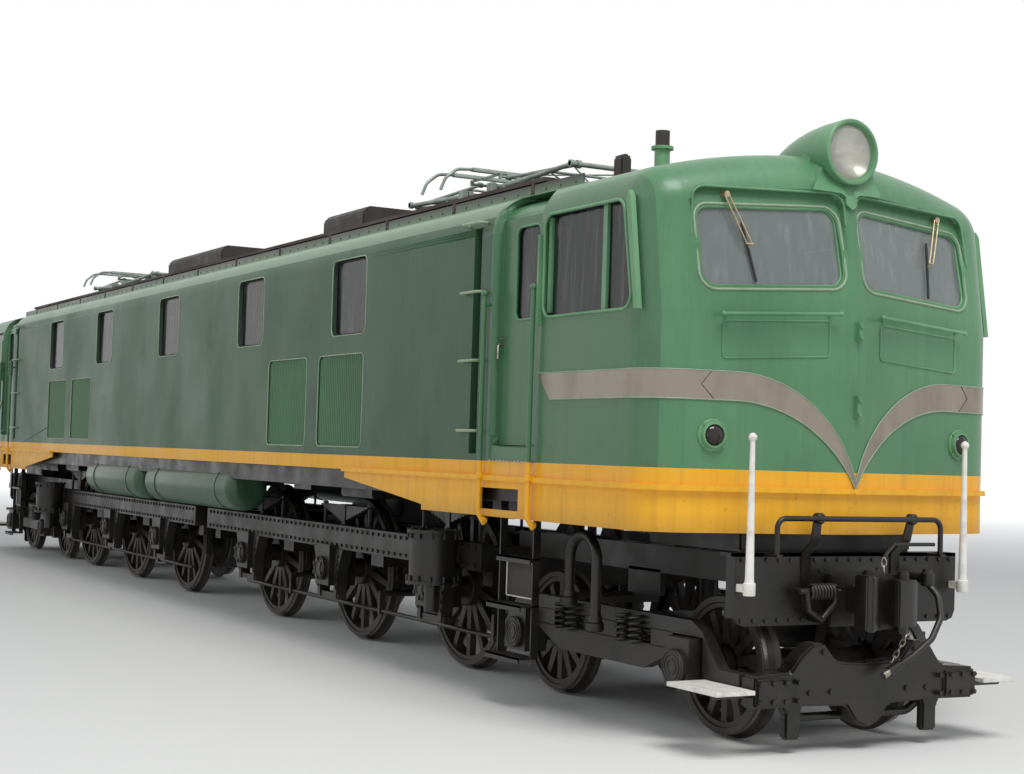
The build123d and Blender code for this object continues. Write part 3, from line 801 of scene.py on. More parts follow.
def headlight(mesh):
    """Bullet-shaped casing, and the saddle that drapes between the windscreens."""
    length = LAMP_BACK - LAMP_X
    bullet = [(length + 825 * t, LAMP_R * (1 - (1 - t) ** 2.3))
              for t in (0.015, 0.04, 0.08, 0.14, 0.2, 0.28, 0.38, 0.5, 0.64, 0.8, 1.0)]
    rim = [(-6, LAMP_R - 1), (0, LAMP_R - 7), (0, LENS_R + 6), (-8, LENS_R), (-46, LENS_R - 12)]
    lamp_spun(mesh, [(length, 0)] + bullet + rim, 64)
    outline = [(200, LAMP_Z), (206, 3610), (216, 3550), (240, 3482), (275, 3420), (275, 3412), (85, 3404), (58, 3396),
               (44, 3378), (44, 3335), (0, 3300), (0, LAMP_Z)]
    roof = 3560         # from here up the saddle leaves the nose's skin
    for y in (-1, 1):
        loft(mesh, [[(skin_x(a, min(z, roof)) + depth - (0 if z < roof else 120), y * a, z) for a, z in outline]
                    for depth in (22, -60)])


def headlight_dish(mesh):
    lamp_spun(mesh, [(66 * (r / 168) ** 2 - 110, r) for r in (0, 20, 45, 80, 115, 145, 168)] + [(-36, 176)], 48)
    rod(mesh, (LAMP_X - 108, 0, LAMP_Z), (LAMP_X - 60, 0, LAMP_Z), (22, 17), 16)


def headlight_lens(mesh):
    front = [(2, 0), (1, 40), (-4, 85), (-14, 130), (-26, 160), (-34, 176)]
    back = [(-40, 176), (-34, 160), (-20, 128), (-10, 85), (-5, 40), (-4, 0)]
    lamp_spun(mesh, front + back, 64)


both_ends("tail_lamps", tail_lamps, GREEN_BARE)
both_ends("tail_lenses", tail_lenses, TAIL_LENS)
both_ends("headlight_casing", headlight, GREEN_BARE, replaced="headlights")
both_ends("headlight_dish", headlight_dish, REFLECTOR)
both_ends("headlight_lens", headlight_lens, LENS)


# Grab rails at the doors, climbing rungs, and rails and hatches under the windscreens
def grab_rails(mesh):
    for side in (-1, 1):
        rail, wall = side * (WALL_Y + 42), side * (WALL_Y - 5)
        for x in (7290, 7970):
            pipe(mesh, ((x, rail, 2810), (x, rail, 1290), (x, side * 1392, 1215)), 80, 17)
            rod(mesh, (x, side * 1412, 1240), (x, side * 1380, 1240), 24)
            lathe(mesh, [(-26, 0), (-22, 14), (-9, 25), (9, 25), (22, 14), (26, 0)], (x, rail, 2815), UP, 16)
            rod(mesh, (x, rail, 1530), (x, rail, 1572), 27)
            rod(mesh, (x, wall, 2740), (x, rail, 2740), 12)
            rod(mesh, (x, wall, 1551), (x, rail, 1551), 14)


def rungs(mesh):
    for z in (1860, 2355, 2840, 3330):
        for y in (-1, 1):
            wall, out = y * (1360 if z > 3000 else 1395), y * (WALL_Y + 50)
            pipe(mesh, ((6925, wall, z), (6925, out, z), (7195, out, z), (7195, wall, z)), 28, 11, 8)


def nose_rails(mesh):
    """Rail on its two studs and border of the hatch, on each half of the nose; hinges on its edge."""
    inner, outer = (9572, 170, 2627), (9450, 975, 2584)
    for y in (-1, 1):
        ends = [(x, y * a, z) for x, a, z in (inner, outer)]
        rod(mesh, *ends, 12)
        for ball in ends:
            lathe(mesh, [(-18, 0), (-15, 11), (0, 18), (15, 11), (18, 0)], ball, ACROSS, 12)
        for a, z in ((215, 2625), (930, 2586)):
            x = skin_x(a, z)
            rod(mesh, (x - 40, y * a, z), (x + 60, y * a, z), 9)
        hatch = rounded([(205, 2585), (940, 2548), (940, 2322), (205, 2365)], 22, 3)
        sweep(mesh, [(skin_x(a, z) + 3, y * a, z) for a, z in hatch], 5, closed=True, sides=6)
    for low, high in ((2470, 2590), (1990, 2130)):
        box(mesh, 9520, 9560, -14, 14, low, high)
        for z in (low + 25, high - 25):
            rod(mesh, (9560, 0, z), (9572, 0, z), 14, 8)


both_ends("grab_rails", grab_rails, GREEN, crease=50)
# The rungs' pale green is a painted highlight on their round bars
both_ends("climbing_rungs", rungs, GREEN_EDGE_HIGHLIGHT, crease=50)
both_ends("nose_rails", nose_rails, GREEN_BARE, crease=50)


# Brow edges, gear under the floor, ladders, reservoirs, and the roof's walkways, rim and boxes
def brow_lips(mesh):
    """Edge of the brow over each windscreen."""
    corners = rounded([(40, 2600), (46, 3406), (1096, 3370), (1150, 2600)], 88)
    line = [(44, 3200)] + [p for p in corners if p[1] > 3100] + [(1125, 3060)]
    for y in (-1, 1):
        sweep(mesh, [(skin_x(a, z) - 3 - max(0, z - 3385) * BROW_SLOPE, y * a, z) for a, z in line], 7)


def floor_gear(mesh):
    """Ducts and boxes under the floor."""
    box(mesh, 8300, 9290, -690, 690, 1150, 1530)
    box(mesh, 6500, 7700, -900, 900, 1255, 1530)
    for y in (-1, 1):
        box(mesh, 4300, 4950, y * 700, y * 1180, 1300, 1530)
        box(mesh, 700, 1500, y * 640, y * 1120, 1300, 1530)


def ladders(mesh):
    """Two stringers with three treads below each door, hung from a beam under the floor."""
    for y in (-1, 1):
        for x in (7250, 7710):
            box(mesh, x - 7, x + 7, y * 1180, y * 1235, 330, 1400)
            box(mesh, x - 30, x + 30, -1235, 1235, 1400, 1530)
        for z in (330, 680, 1000):
            depth = 1330 if z < 900 else 1260
            box(mesh, 7243, 7717, y * 1180, y * depth, z - 12, z)
            box(mesh, 7243, 7717, y * (depth - 10), y * depth, z - 40, z)


def reservoirs(mesh):
    """Two air tanks with domed ends, each in two straps."""
    axis_y, axis_z, radius, dome = -1150, 1280, 220, 110
    cap = [(dome - dome * math.cos(a), radius - dome + dome * math.sin(a)) for a in rows(0, math.pi / 2, 6)]
    for x0, x1 in ((-3300, -1100), (-830, 1980)):
        profile = [(0, 0), (6, 60)] + cap
        profile += [(x1 - x0 - a, r) for a, r in reversed(profile)]
        lathe(mesh, [(x0 + a, r) for a, r in profile], (0, axis_y, axis_z), AHEAD, 48)
        for x in (x0 + 420, x1 - 420):
            strap = [(x + a, radius + b) for a, b in ((-25, -1), (-25, 7), (25, 7), (25, -1))]
            lathe(mesh, strap, (0, axis_y, axis_z), AHEAD, 48, True)
            box(mesh, x - 25, x + 25, axis_y - 60, axis_y + 60, 1430, 1540)


def walkways(mesh):
    for y0, y1 in ((800, 890), (905, 995), (1010, 1100)):
        box(mesh, -7480, 7480, y0, y1, 3622, 3650)
    for number in range(13):
        x = (number - 6) * 1220
        box(mesh, x - 25, x + 25, 800, 1100, 3540, 3622)


def roof_rim(mesh):
    box(mesh, -8000, 8000, 1086, 1098, 3490, 3610)


def monitors(mesh):
    """Boxes on the roof, each with its top edges cut off."""
    base = 3560
    for x0, x1, y0, y1, top, edge in ((2300, 3260, -600, 600, 3990, 60), (-2650, -680, -600, 600, 3990, 60),
                                      (7660, 7770, -650, -560, 3830, 20)):
        outline = [(y0, base), (y0, top - edge), (y0 + edge, top), (y1 - edge, top), (y1, top - edge), (y1, base)]
        prism(mesh, outline, 0, x0, x1)
    break_edges(mesh, mesh.edges[:], 14)


both_ends("brow_lips", brow_lips, GREEN_BARE, crease=60)
both_ends("floor_gear", floor_gear, GEAR, bevel=12)
both_ends("ladders", ladders, GEAR)
both_ends("reservoirs", reservoirs, TANK_GREEN)
both_ends("walkway", walkways, PLANK, replaced="roof_walkways")
both_ends("roof_rim", roof_rim, GREEN_ROOF_DUST_AND_LIGHT)
piece("roof_hoods", monitors, ROOF_GEAR, replaced="roof_monitors", crease=30)

# Wheelsets: flanged tyres, spokes, hubs and axle, with a bright tread where they run on the rail
LEADER = (430, 70, 950, 110)        # radius, journal, half length and hub of a leading wheelset
DRIVER = (625, 85, 990, 150)        # the same of a driving wheelset
AXLES = ((9030, *LEADER), (7030, *LEADER), (5600, *DRIVER), (3525, *DRIVER), (1450, *DRIVER))
SPOKES = 14
TYRE_SIDES = 96
TREAD = (532, 608)                  # the part of the tyre that runs bright


def wheelset(mesh, x, radius, journal, reach, hub):
    rod(mesh, (x, -reach, radius), (x, reach, radius), journal, 28)
    rod(mesh, (x, -495, radius), (x, 495, radius), journal + 20, 28)
    tyre = [(a, radius + r) for a, r in ((495, -75), (495, 24), (500, 27), (508, 27), (516, 18), (527, 1), (616, 0),
                                         (620, -5), (620, -40), (608, -46), (608, -75))]
    boss = ((485, journal), (485, hub), (630, hub), (638, hub - 10), (638, journal))
    spoke = ((hub - 15, -46), (hub + 25, -34), (radius - 100, -27), (radius - 62, -40),
             (radius - 62, 40), (radius - 100, 27), (hub + 25, 34), (hub - 15, 46))
    for y in (-1, 1):
        lathe(mesh, [(y * a, r) for a, r in boss], (x, 0, radius), ACROSS, 36)
        lathe(mesh, [(y * a, r) for a, r in tyre], (x, 0, radius), ACROSS, TYRE_SIDES, True)
        for c, s in circle(1, SPOKES):
            outline = [(x + r * s + w * c, radius + r * c - w * s) for r, w in spoke]
            prism(mesh, outline, 1, y * 530, y * 586)


def treads(mesh, x, radius):
    for y in (-1, 1):
        lathe(mesh, [(y * a, radius + 0.4) for a in TREAD], (x, 0, radius), ACROSS, TYRE_SIDES)


for number, axle in enumerate(AXLES):
    body = "{end}_wheelset_" + str(number + 1)
    both_ends(f"wheels_{number + 1}", lambda mesh: wheelset(mesh, *axle), WHEEL, body, body)
    both_ends(f"treads_{number + 1}", lambda mesh: treads(mesh, *axle[:2]), BRIGHT, body, crease=60)

# Main trucks: bar frames with pedestal jaws, leaf springs, motors, cylinders, hoses and brake gear
LEAVES = 8
DRIVER_X = [axle[0] for axle in reversed(AXLES[2:])]
LEADER_X = [axle[0] for axle in reversed(AXLES[:2])]
AXLE_Z = DRIVER[0]
FRAME_Y = (850, 950)            # faces of the side bars
BLOCK_Y = 573                   # brake blocks, on the middle of the treads
CYLINDER = (5980, 1120)
HOSE_Y = 1030
LEAD_X = 8030                   # middle of the leading truck


def leaf_spring(mesh, x, y, top):
    """Stack of leaves with its buckle, the post to the axle box and the hangers at the ends."""
    outline = []
    for number in range(LEAVES):
        reach = 520 - 58 * number
        outline += [(reach, top - number * 16), (reach, top - (number + 1) * 16)]
    prism(mesh, [(x + r, z) for r, z in outline] + [(x - r, z) for r, z in reversed(outline)], 1, y - 38, y + 38)
    box(mesh, x - 52, x + 52, y - 46, y + 46, top - 142, top + 10)
    box(mesh, x - 34, x + 34, y - 34, y + 34, 810, top - 128)
    for reach in (-495, 495):
        rod(mesh, (x + reach, y, 1000), (x + reach, y, top + 25), 15, 10)
        rod(mesh, (x + reach, y, top + 2), (x + reach, y, top + 18), 28, 6)


def axle_bay(mesh, x, y):
    """Jaws, brake blocks with their hangers, axle box and spring of one driving wheel."""
    jaw = ((156, 815), (156, 360), (210, 360), (228, 600), (330, 815))
    heights = rows(-168, 168, 9)
    arc = [(math.sqrt((AXLE_Z + 8) ** 2 - z * z), AXLE_Z + z) for z in heights]
    shoe = arc + [(a + 60, z) for a, z in reversed(arc)]
    cover = ((990, 0), (990, 108), (1030, 108), (1045, 96), (1045, 0))
    block_y = y * BLOCK_Y
    for way in (-1, 1):
        prism(mesh, [(x + way * a, z) for a, z in jaw], 1, y * FRAME_Y[0], y * FRAME_Y[1])
        prism(mesh, [(x + way * a, z) for a, z in shoe], 1, block_y - 42, block_y + 42)
        box(mesh, x + way * 690, x + way * 722, block_y - 20, block_y + 20, 560, 970)
        rod(mesh, (x + way * 705, y * 500, 950), (x + way * 705, y * 870, 950), 24)
    box(mesh, x - 240, x + 240, y * 862, y * 938, 360, 410)
    box(mesh, x - 150, x + 150, y * 740, y * 1000, 475, 840)
    lathe(mesh, [(y * a, r) for a, r in cover], (x, 0, AXLE_Z), ACROSS, 32)
    box(mesh, x + 672, x + 712, y * 690, y * 750, 270, 470)
    leaf_spring(mesh, x, y * 775, 1280 if x == DRIVER_X[-1] else 1190)


def cylinder(mesh, y):
    """Upright cylinder with its flanges, piston rod and bracket."""
    x, centre = CYLINDER[0], (CYLINDER[0], y * CYLINDER[1], 0)
    lathe(mesh, [(690, 0), (690, 185), (1100, 185), (1100, 0)], centre, UP, 40)
    for z in (700, 1090):
        lathe(mesh, [(z - 13, 150), (z - 13, 205), (z + 13, 205), (z + 13, 150)], centre, UP, 40, True)
    rod(mesh, (x, centre[1], 470), (x, centre[1], 700), 60, 20)
    box(mesh, x - 110, x + 110, y * 940, centre[1], 850, 1010)


def bent_hose(mesh, y):
    """Hose that rises from one flange and falls to another beside the leading truck."""
    feet = ((7860, 740), (8200, 600))
    (x0, z0), (x1, z1) = feet
    line = [(x, y * HOSE_Y, z) for x, z in ((x0, z0), (x0, 1180), (x1, 1180), (x1, z1))]
    pipe(mesh, line, 160, 36, 20)
    flange = ((-42, 30), (-42, 52), (-28, 60), (12, 60), (20, 48), (60, 44), (60, 30))
    for x, z in feet:
        lathe(mesh, [(z + a, r) for a, r in flange], (x, y * HOSE_Y, 0), UP, 20)
        box(mesh, x - 25, x + 25, y * 500, y * 1040, 745, 785)
    box(mesh, x0 - 25, x1 + 25, y * 500, y * 540, 745, 960)


def truck(mesh):
    for y in (-1, 1):
        box(mesh, 200, 6450, y * FRAME_Y[0], y * FRAME_Y[1], 810, 1020)
        for x in DRIVER_X:
            axle_bay(mesh, x, y)
        box(mesh, 2200, 4500, y * 300, y * 440, 850, 1050)
        box(mesh, 6300, 9350, y * 400, y * 540, 940, 1120)
        rod(mesh, (900, y * 720, 300), (6400, y * 720, 300), 18)
        cylinder(mesh, y)
        bent_hose(mesh, y)
    for x0, x1 in ((200, 350), (2200, 2450), (4250, 4500), (6300, 6450)):
        box(mesh, x0, x1, -FRAME_Y[0], FRAME_Y[0], 700, 1000)
    box(mesh, 3325, 3725, -440, 440, 850, 1100)
    for x in DRIVER_X:
        # Traction motor behind each axle, with its collar, nose and the brake rod ahead
        rod(mesh, (x - 620, -420, 655), (x - 620, 420, 655), 360, 40)
        rod(mesh, (x - 620, -440, 655), (x - 620, 440, 655), 300, 40)
        box(mesh, x - 1150, x - 900, -150, 150, 750, 850)
        rod(mesh, (x + 692, -700, 450), (x + 692, 700, 450), 26)
    box(mesh, LEAD_X - 100, LEAD_X + 100, -400, 400, 940, 1120)
    rod(mesh, (LEAD_X, 0, 530), (LEAD_X, 0, 950), 70, 24)


# End beams, couplers and poles
BEAM_X = (9460, 9500)           # back and face of the beam's plate
RAIL_X = 9602                   # pipe rail over the beam


def end_beam(mesh):
    """Plate and its shelf, pipe rail on two stanchions that lean out over it, cock and brake hose."""
    half = [(813, 720), (862, 741), (883, 790), (883, 1155)]
    prism(mesh, [(-y, z) for y, z in reversed(half)] + half, 0, *BEAM_X)
    box(mesh, 9350, 9500, -883, 883, 1135, 1155)
    box(mesh, 9350, 9460, -540, 540, 940, 1120)
    for y in (-1, 1):
        box(mesh, 9350, 9460, y * 820, y * 835, 760, 1145)
        box(mesh, 9495, 9630, y * 630, y * 674, 1139, 1155)
    pipe(mesh, [(RAIL_X, y, z) for y, z in ((-652, 1145), (-652, 1370), (652, 1370), (652, 1145))], 60, 17)
    for foot, head in ((-352, -322), (360, 425)):
        levels = ((800, 9495, foot, 35), (1150, 9495, foot, 35), (1235, 9562, (foot + head) / 2, 32),
                  (1350, 9562, head, 28))
        loft(mesh, [((x, y - half, z), (x, y + half, z), (x + 17, y + half, z), (x + 17, y - half, z))
                    for z, x, y, half in levels])
        lathe(mesh, [(9562, 0), (9562, 34), (9606, 34), (9614, 26), (9614, 0)], (0, head, 1372), AHEAD, 20)
    rod(mesh, (9490, 530, 1000), (9610, 530, 1000), 30, 20)
    cock = ((955, 0), (955, 34), (965, 44), (1035, 44), (1045, 30), (1062, 28), (1062, 0))
    lathe(mesh, cock, (9620, 530, 0), UP, 20)
    hose = ((9620, 530, 975), (9700, 548, 900), (9752, 525, 770), (9782, 425, 645), (9790, 265, 545),
            (9790, 120, 478))
    pipe(mesh, hose, 110, 20, 16)
    rod(mesh, (9790, 150, 492), (9790, 75, 457), 30, 16)


def coupler(mesh):
    box(mesh, 9500, 9560, -200, 200, 710, 1030)
    box(mesh, 9560, 9740, -72, 72, 800, 960)
    head = ((9700, -80), (9760, -185), (9905, -215), (9935, -185), (9925, -150), (9850, -70), (9815, 10), (9815, 180),
            (9700, 120))
    prism(mesh, head, 2, 715, 1045)
    knuckle = ((9790, 40), (9880, 55), (9905, 0), (9946, 5), (9946, 110), (9905, 190), (9790, 195))
    prism(mesh, knuckle, 2, 740, 1020)
    rod(mesh, (9830, 135, 690), (9830, 135, 1070), 34, 20)
    rod(mesh, (9770, -60, 990), (9770, -60, 1070), 55, 20)


def pole_bodies(mesh):
    """Upright poles at the beam's corners, each in a socket and with a ball on top."""
    pole = ((912, 0), (912, 34), (920, 38), (984, 38), (990, 30), (1010, 27), (1850, 14.5), (1850, 0))
    ball = ((1822, 0), (1826, 14), (1838, 24), (1849, 27), (1860, 24), (1872, 14), (1876, 0))
    for y in (-1, 1):
        box(mesh, 9500, 9600, y * 828, y * 872, 930, 975)
        for profile in (pole, ball):
            lathe(mesh, profile, (9600, y * 850, 0), UP, 24)


# Leading trucks: side frames built from their bars, so that the windows between them stay open
def leading_frame(mesh):
    upper = ((-1040, 715), (1040, 715), (1150, 660), (1330, 450), (1530, 450), (1530, 290), (1270, 290),
             (1160, 335), (1160, 620), (-1160, 620), (-1160, 335), (-1270, 290), (-1400, 290), (-1400, 450),
             (-1330, 450), (-1150, 660))
    lower = ((-840, 520), (840, 520), (840, 500), (710, 440), (520, 360), (-520, 360), (-710, 440), (-840, 500))
    cover = ((950, 0), (950, 112), (985, 112), (995, 102), (995, 0))
    for y in (-1, 1):
        for outline in (upper, lower):
            prism(mesh, [(LEAD_X + a, z) for a, z in outline], 1, y * 800, y * 880)
        for x0, x1 in ((-840, -600), (-200, 200), (600, 840)):
            box(mesh, LEAD_X + x0, LEAD_X + x1, y * 800, y * 880, 515, 625)
        for number in range(5):
            reach = 640 - 60 * number
            box(mesh, LEAD_X - reach, LEAD_X + reach, y * 815, y * 865, 592 - 18 * number, 606 - 18 * number)
        for x in LEADER_X:
            box(mesh, x - 128, x + 128, y * 780, y * 960, 300, 610)
            lathe(mesh, [(y * a, r) for a, r in cover], (x, 0, LEADER[0]), ACROSS, 36)
        for x in (9300, 9640):
            rod(mesh, (x, y * 867, 340), (x, y * 1130, 340), 20)
    box(mesh, LEAD_X - 200, LEAD_X + 200, -800, 800, 440, 640)


def step_boards(mesh):
    for y in (-1, 1):
        box(mesh, 9250, 9750, y * 900, y * 1180, 352, 378)


def pilot(mesh):
    """Cast piece ahead of the wheels, with its bolted faces and the guards over the rails."""
    casting = [(95, 150), (170, 250), (500, 262), (867, 258), (867, 450), (600, 468), (520, 560), (430, 628),
               (350, 630), (250, 520), (180, 510)]
    outline = [(0, 110)] + casting + [(0, 500)] + [(-y, z) for y, z in reversed(casting)]
    prism(mesh, outline, 0, 9560, 9700)
    guard = ((450, 300), (640, 300), (620, 240), (600, 220), (600, 60), (480, 60), (480, 220))
    for y in (-1, 1):
        box(mesh, 9690, 9722, y * 600, y * 867, 275, 435)
        prism(mesh, [(y * a, z) for a, z in guard], 0, 9590, 9655)


def pilot_tube(mesh):
    pipe(mesh, ((9600, -560, 290), (9560, -430, 175), (9560, 430, 175), (9600, 560, 290)), 90, 26)


both_ends("truck_bars", truck, FRAME, "{end}_truck", "{end}_truck_frame")
both_ends("beam", end_beam, GEAR, "{end}_truck", "{end}_end_beam", crease=45)
both_ends("coupler_head", coupler, GEAR, "{end}_truck", "{end}_coupler", bevel=9)
both_ends("white_poles", pole_bodies, WHITE, "{end}_truck", "{end}_poles")
both_ends("leading_bars", leading_frame, FRAME, "{end}_leading_truck", "{end}_leading_frame")
both_ends("step_boards", step_boards, WHITE, "{end}_leading_truck", bevel=3)
both_ends("pilot_casting", pilot, GEAR, "{end}_leading_truck", "{end}_pilot", bevel=14)
both_ends("pilot_tube", pilot_tube, GEAR, "{end}_leading_truck")

# Pantographs, which keep the joints' places: ribbed insulators, base frame, arms and collector
PANTO_X = 5300              # middle of the front pantograph
SHAFT_X, SHAFT_H = 250, 3880
ARM, FOLD = 1150, math.radians(2.5)
KNEE_X, KNEE_H = SHAFT_X + ARM * math.cos(FOLD), SHAFT_H + ARM * math.sin(FOLD)
HEAD_H = SHAFT_H + 2 * ARM * math.sin(FOLD)
STAND_X, STAND_Y = 500, 480          # insulators from the pantograph's middle
FOOT = 3786                 # top of the insulators


def insulators(mesh):
    profile = [(3590, 0), (3590, 62)]
    for low in (3608, 3652, 3696, 3740):
        profile += [(low, 46), (low + 8, 74), (low + 16, 76), (low + 34, 48)]
    profile += [(FOOT, 44), (FOOT, 0)]
    for x in (PANTO_X - STAND_X, PANTO_X + STAND_X):
        for y in (-STAND_Y, STAND_Y):
            lathe(mesh, profile, (x, y, 0), UP, 28)


def pantograph_base(mesh):
    """Frame on the insulators, bearings of the shafts, and the rods that carry the raising springs."""
    def post(x, y, half_x, half_y, low, high):
        box(mesh, PANTO_X + x - half_x, PANTO_X + x + half_x, y - half_y, y + half_y, low, high)

    for y in (-STAND_Y, STAND_Y):
        post(0, y, 700, 35, FOOT, 3840)
    for x in (-660, 660):
        post(x, 0, 32, STAND_Y, 3790, 3836)
    for x in (-SHAFT_X, SHAFT_X):
        post(x, 0, 38, STAND_Y, FOOT, 3816)
        for y in (-STAND_Y, STAND_Y):
            post(x, y, 42, 22, 3812, SHAFT_H + 38)
        for y in (-180, 180):
            post(0.72 * x, y, 8, 34, 3800, SHAFT_H + 34)
    for y in (-180, 180):
        rod(mesh, (PANTO_X - 180, y, SHAFT_H), (PANTO_X + 180, y, SHAFT_H), 26, 16)


def arm_point(share, across, low):
    """Point of the outer arm that runs from height low over the shaft to the knee."""
    return (PANTO_X + SHAFT_X + share * (KNEE_X - SHAFT_X), across, low + share * (KNEE_H - low))


def lower_point(share, across):
    return arm_point(share, across, SHAFT_H)


def upper_point(share, across):
    return arm_point(share, across, HEAD_H)


def lower_arm(mesh):
    rod(mesh, lower_point(0, -500), lower_point(0, 500), 25, 18)
    rod(mesh, lower_point(1, -430), lower_point(1, 430), 20, 16)
    for y in (-1, 1):
        rod(mesh, lower_point(0, y * 395), lower_point(0, y * 440), 38, 20)
        rod(mesh, lower_point(0, y * 418), lower_point(1, y * 402), (24, 18))
        rod(mesh, lower_point(0.02, -y * 414), lower_point(0.7, y * 404), 8, 8)
        rod(mesh, lower_point(1, y * 396), lower_point(1, y * 430), 30, 18)
    rod(mesh, lower_point(0.7, -404), lower_point(0.7, 404), 11, 10)


def upper_arm(mesh):
    for y in (-1, 1):
        rod(mesh, upper_point(0, y * 318), upper_point(1, y * 350), (13, 16))
        rod(mesh, upper_point(0.2, -y * 324), upper_point(0.93, y * 348), 7, 8)
        rod(mesh, upper_point(1, y * 332), upper_point(1, y * 368), 32, 18)
        rod(mesh, upper_point(0, y * 300), upper_point(0, y * 340), 23, 16)
    rod(mesh, upper_point(0.2, -324), upper_point(0.2, 324), 11, 10)


def collector(mesh):
    """Two contact strips with their horns, on a frame over the upper arms' tubes."""
    strip = ((-28, 30), (28, 30), (28, 50), (18, 60), (-18, 60), (-28, 50))
    horn = ((610, 46), (760, 34), (865, -50), (905, -150))
    for side in (-1, 1):
        tube, shoe = PANTO_X + side * SHAFT_X, PANTO_X + side * 170
        rod(mesh, (tube, -400, HEAD_H), (tube, 400, HEAD_H), 12, 12)
        prism(mesh, [(shoe + a, HEAD_H + z) for a, z in strip], 1, -620, 620)
        for y in (-400, 400):
            box(mesh, tube - 15, tube + 15, y - 10, y + 10, HEAD_H - 15, HEAD_H + 30)
        for y in (-1, 1):
            pipe(mesh, [(shoe, y * b, HEAD_H + c) for b, c in horn], 110, 13)
    for y in (-400, 400):
        box(mesh, PANTO_X - SHAFT_X, PANTO_X + SHAFT_X, y - 10, y + 10, HEAD_H + 12, HEAD_H + 30)


def flipped(build):
    """The same arm turned half round about the pantograph's own middle."""
    def drawn(mesh):
        build(mesh)
        bmesh.ops.scale(mesh, vec=(-1, -1, 1), verts=mesh.verts, space=Matrix.Translation((-PANTO_X, 0, 0)))
    return drawn


both_ends("ribbed_insulators", insulators, PORCELAIN, replaced="roof_insulators")
both_ends("pantograph_frame", pantograph_base, STEEL, replaced="pantograph_bases", crease=45)
for name, node_name, build in (("lower_tubes_outer", "lower_arm_outer", lower_arm),
                               ("lower_tubes_inner", "lower_arm_inner", flipped(lower_arm)),
                               ("upper_tubes_outer", "upper_arm_outer", upper_arm),
                               ("upper_tubes_inner", "upper_arm_inner", flipped(upper_arm)),
                               ("contact_shoes", "collector", collector)):
    body = "{end}_" + node_name
    both_ends(name, build, STEEL, body, body, crease=50)


# Cab fittings: desk, stands and the seats' frames
def fittings(mesh):
    desk = ((9020, 1650), (9180, 1650), (9180, 2600), (9080, 2600), (8840, 2480), (8840, 2430), (9020, 2400))
    prism(mesh, desk, 1, -1150, 1150)
    box(mesh, 8700, 8960, 540, 860, 1650, 2500)
    rod(mesh, (8830, 700, 2500), (8830, 700, 2540), 110, 24)
    rod(mesh, (8830, 700, 2540), (8830, 640, 2600), 14, 10)
    rod(mesh, (8860, 1080, 1650), (8860, 1080, 2350), 70, 20)
    rod(mesh, (8860, 1080, 2350), (8860, 1080, 2430), 55, 20)
    for y in (-700, 700):
        rod(mesh, (8350, y, 1650), (8350, y, 1680), 180, 28)
        rod(mesh, (8350, y, 1680), (8350, y, 2050), 35, 16)
        box(mesh, 8150, 8550, y - 200, y + 200, 2040, 2060)
        box(mesh, 8115, 8135, y - 190, y + 190, 2040, 2540)


both_ends("cab_fittings", fittings, CAB_GREEN)


# Small pieces: drawn in metres above the rail head, for the front end where both ends have them
def above(points, way=1):
    """Points above the rail head in the frame, turned half round for the rear end."""
    return [(way * x, way * y, RAIL + z) for x, y, z in points]


def end_bars(name, lines, radius, material, body="body", closed=False, sides=8):
    for end, way in ENDS:
        placed = [above(line, way) for line in lines]
        bars(f"{end}_{name}", placed, radius, material, body.format(end=end), closed, sides)


def end_heads(name, places, axis, radius, thick, material, body, corners=6):
    for end, way in ENDS:
        scatter(f"{end}_{name}", above(places, way), axis, radius, thick, material, body.format(end=end), corners)


def on_walls(outlines, depth):
    """Each outline of x and z on both sides of the body, depth below the walls' face."""
    return [[(x, y * (SIDE_Y - depth), z) for x, z in outline] for y in (-1, 1) for outline in outlines]


# Lips round windows and grilles, glazing strips, curtains and blinds
LIP_R = 0.0055
SEAL_R = 0.010
PLEAT = 0.055
WINDOW_CENTRES = [(x * MM, WINDOW_Z * MM) for x in SIDE_WINDOWS]
GRILLE_H, GRILLE_MIDDLE = (GRILLE_Z[1] - GRILLE_Z[0]) * MM, sum(GRILLE_Z) / 2 * MM


def wall_bars(name, outlines, depth, radius, material):
    placed = [above(line) for line in on_walls(outlines, depth)]
    bars(name, placed, radius, material, closed=True, sides=6)


# The lips' pale green is a painted highlight on the rounded edges of the openings
lips = [rounded(rectangle(centre, (0.700, 0.638)), 0.070) for centre in WINDOW_CENTRES]
wall_bars("side_window_lips", lips, 0.002, LIP_R, GREEN_EDGE_HIGHLIGHT)
seals = [rounded(rectangle(centre, (0.680, 0.618)), 0.062) for centre in WINDOW_CENTRES]
wall_bars("side_window_seals", seals, 0.036, SEAL_R, RUBBER)
lips = [rounded(rectangle((x * MM, GRILLE_MIDDLE), (length * MM, GRILLE_H)), 0.055) for x, length in GRILLES]
wall_bars("grille_lips", lips, 0.002, LIP_R, GREEN_EDGE_HIGHLIGHT)


def curtain(name, x0, x1, y, low, high, way=1, body="body"):
    """Pleated curtain across X, hung just inside a window."""
    mesh = bmesh.new()
    columns = []
    count = int((x1 - x0) / PLEAT * 6)
    for k in range(count + 1):
        x = x0 + (x1 - x0) * k / count
        wave = 0.010 * math.sin(2 * math.pi * (x - x0) / PLEAT)
        column = above([(x, y + wave, z) for z in (low, (low + high) / 2, high)], way)
        columns.append([mesh.verts.new(p) for p in column])
    for a, b in zip(columns, columns[1:]):
        for k in (0, 1):
            mesh.faces.new((a[k], b[k], b[k + 1], a[k + 1]))
    from_bmesh(name, mesh, CANVAS, body, crease=60)


for hand, y in HANDS:
    for end, way in ENDS:
        curtain(f"{end}_cab_curtain_{hand}", 8.03, 8.97, y * 1.285, 2.60, 3.30, way)
    for number, (x, z) in enumerate(WINDOW_CENTRES):
        curtain(f"blind_{hand}_{number + 1}", x - 0.35, x + 0.35, y * 1.27, z - 0.33, z + 0.33)

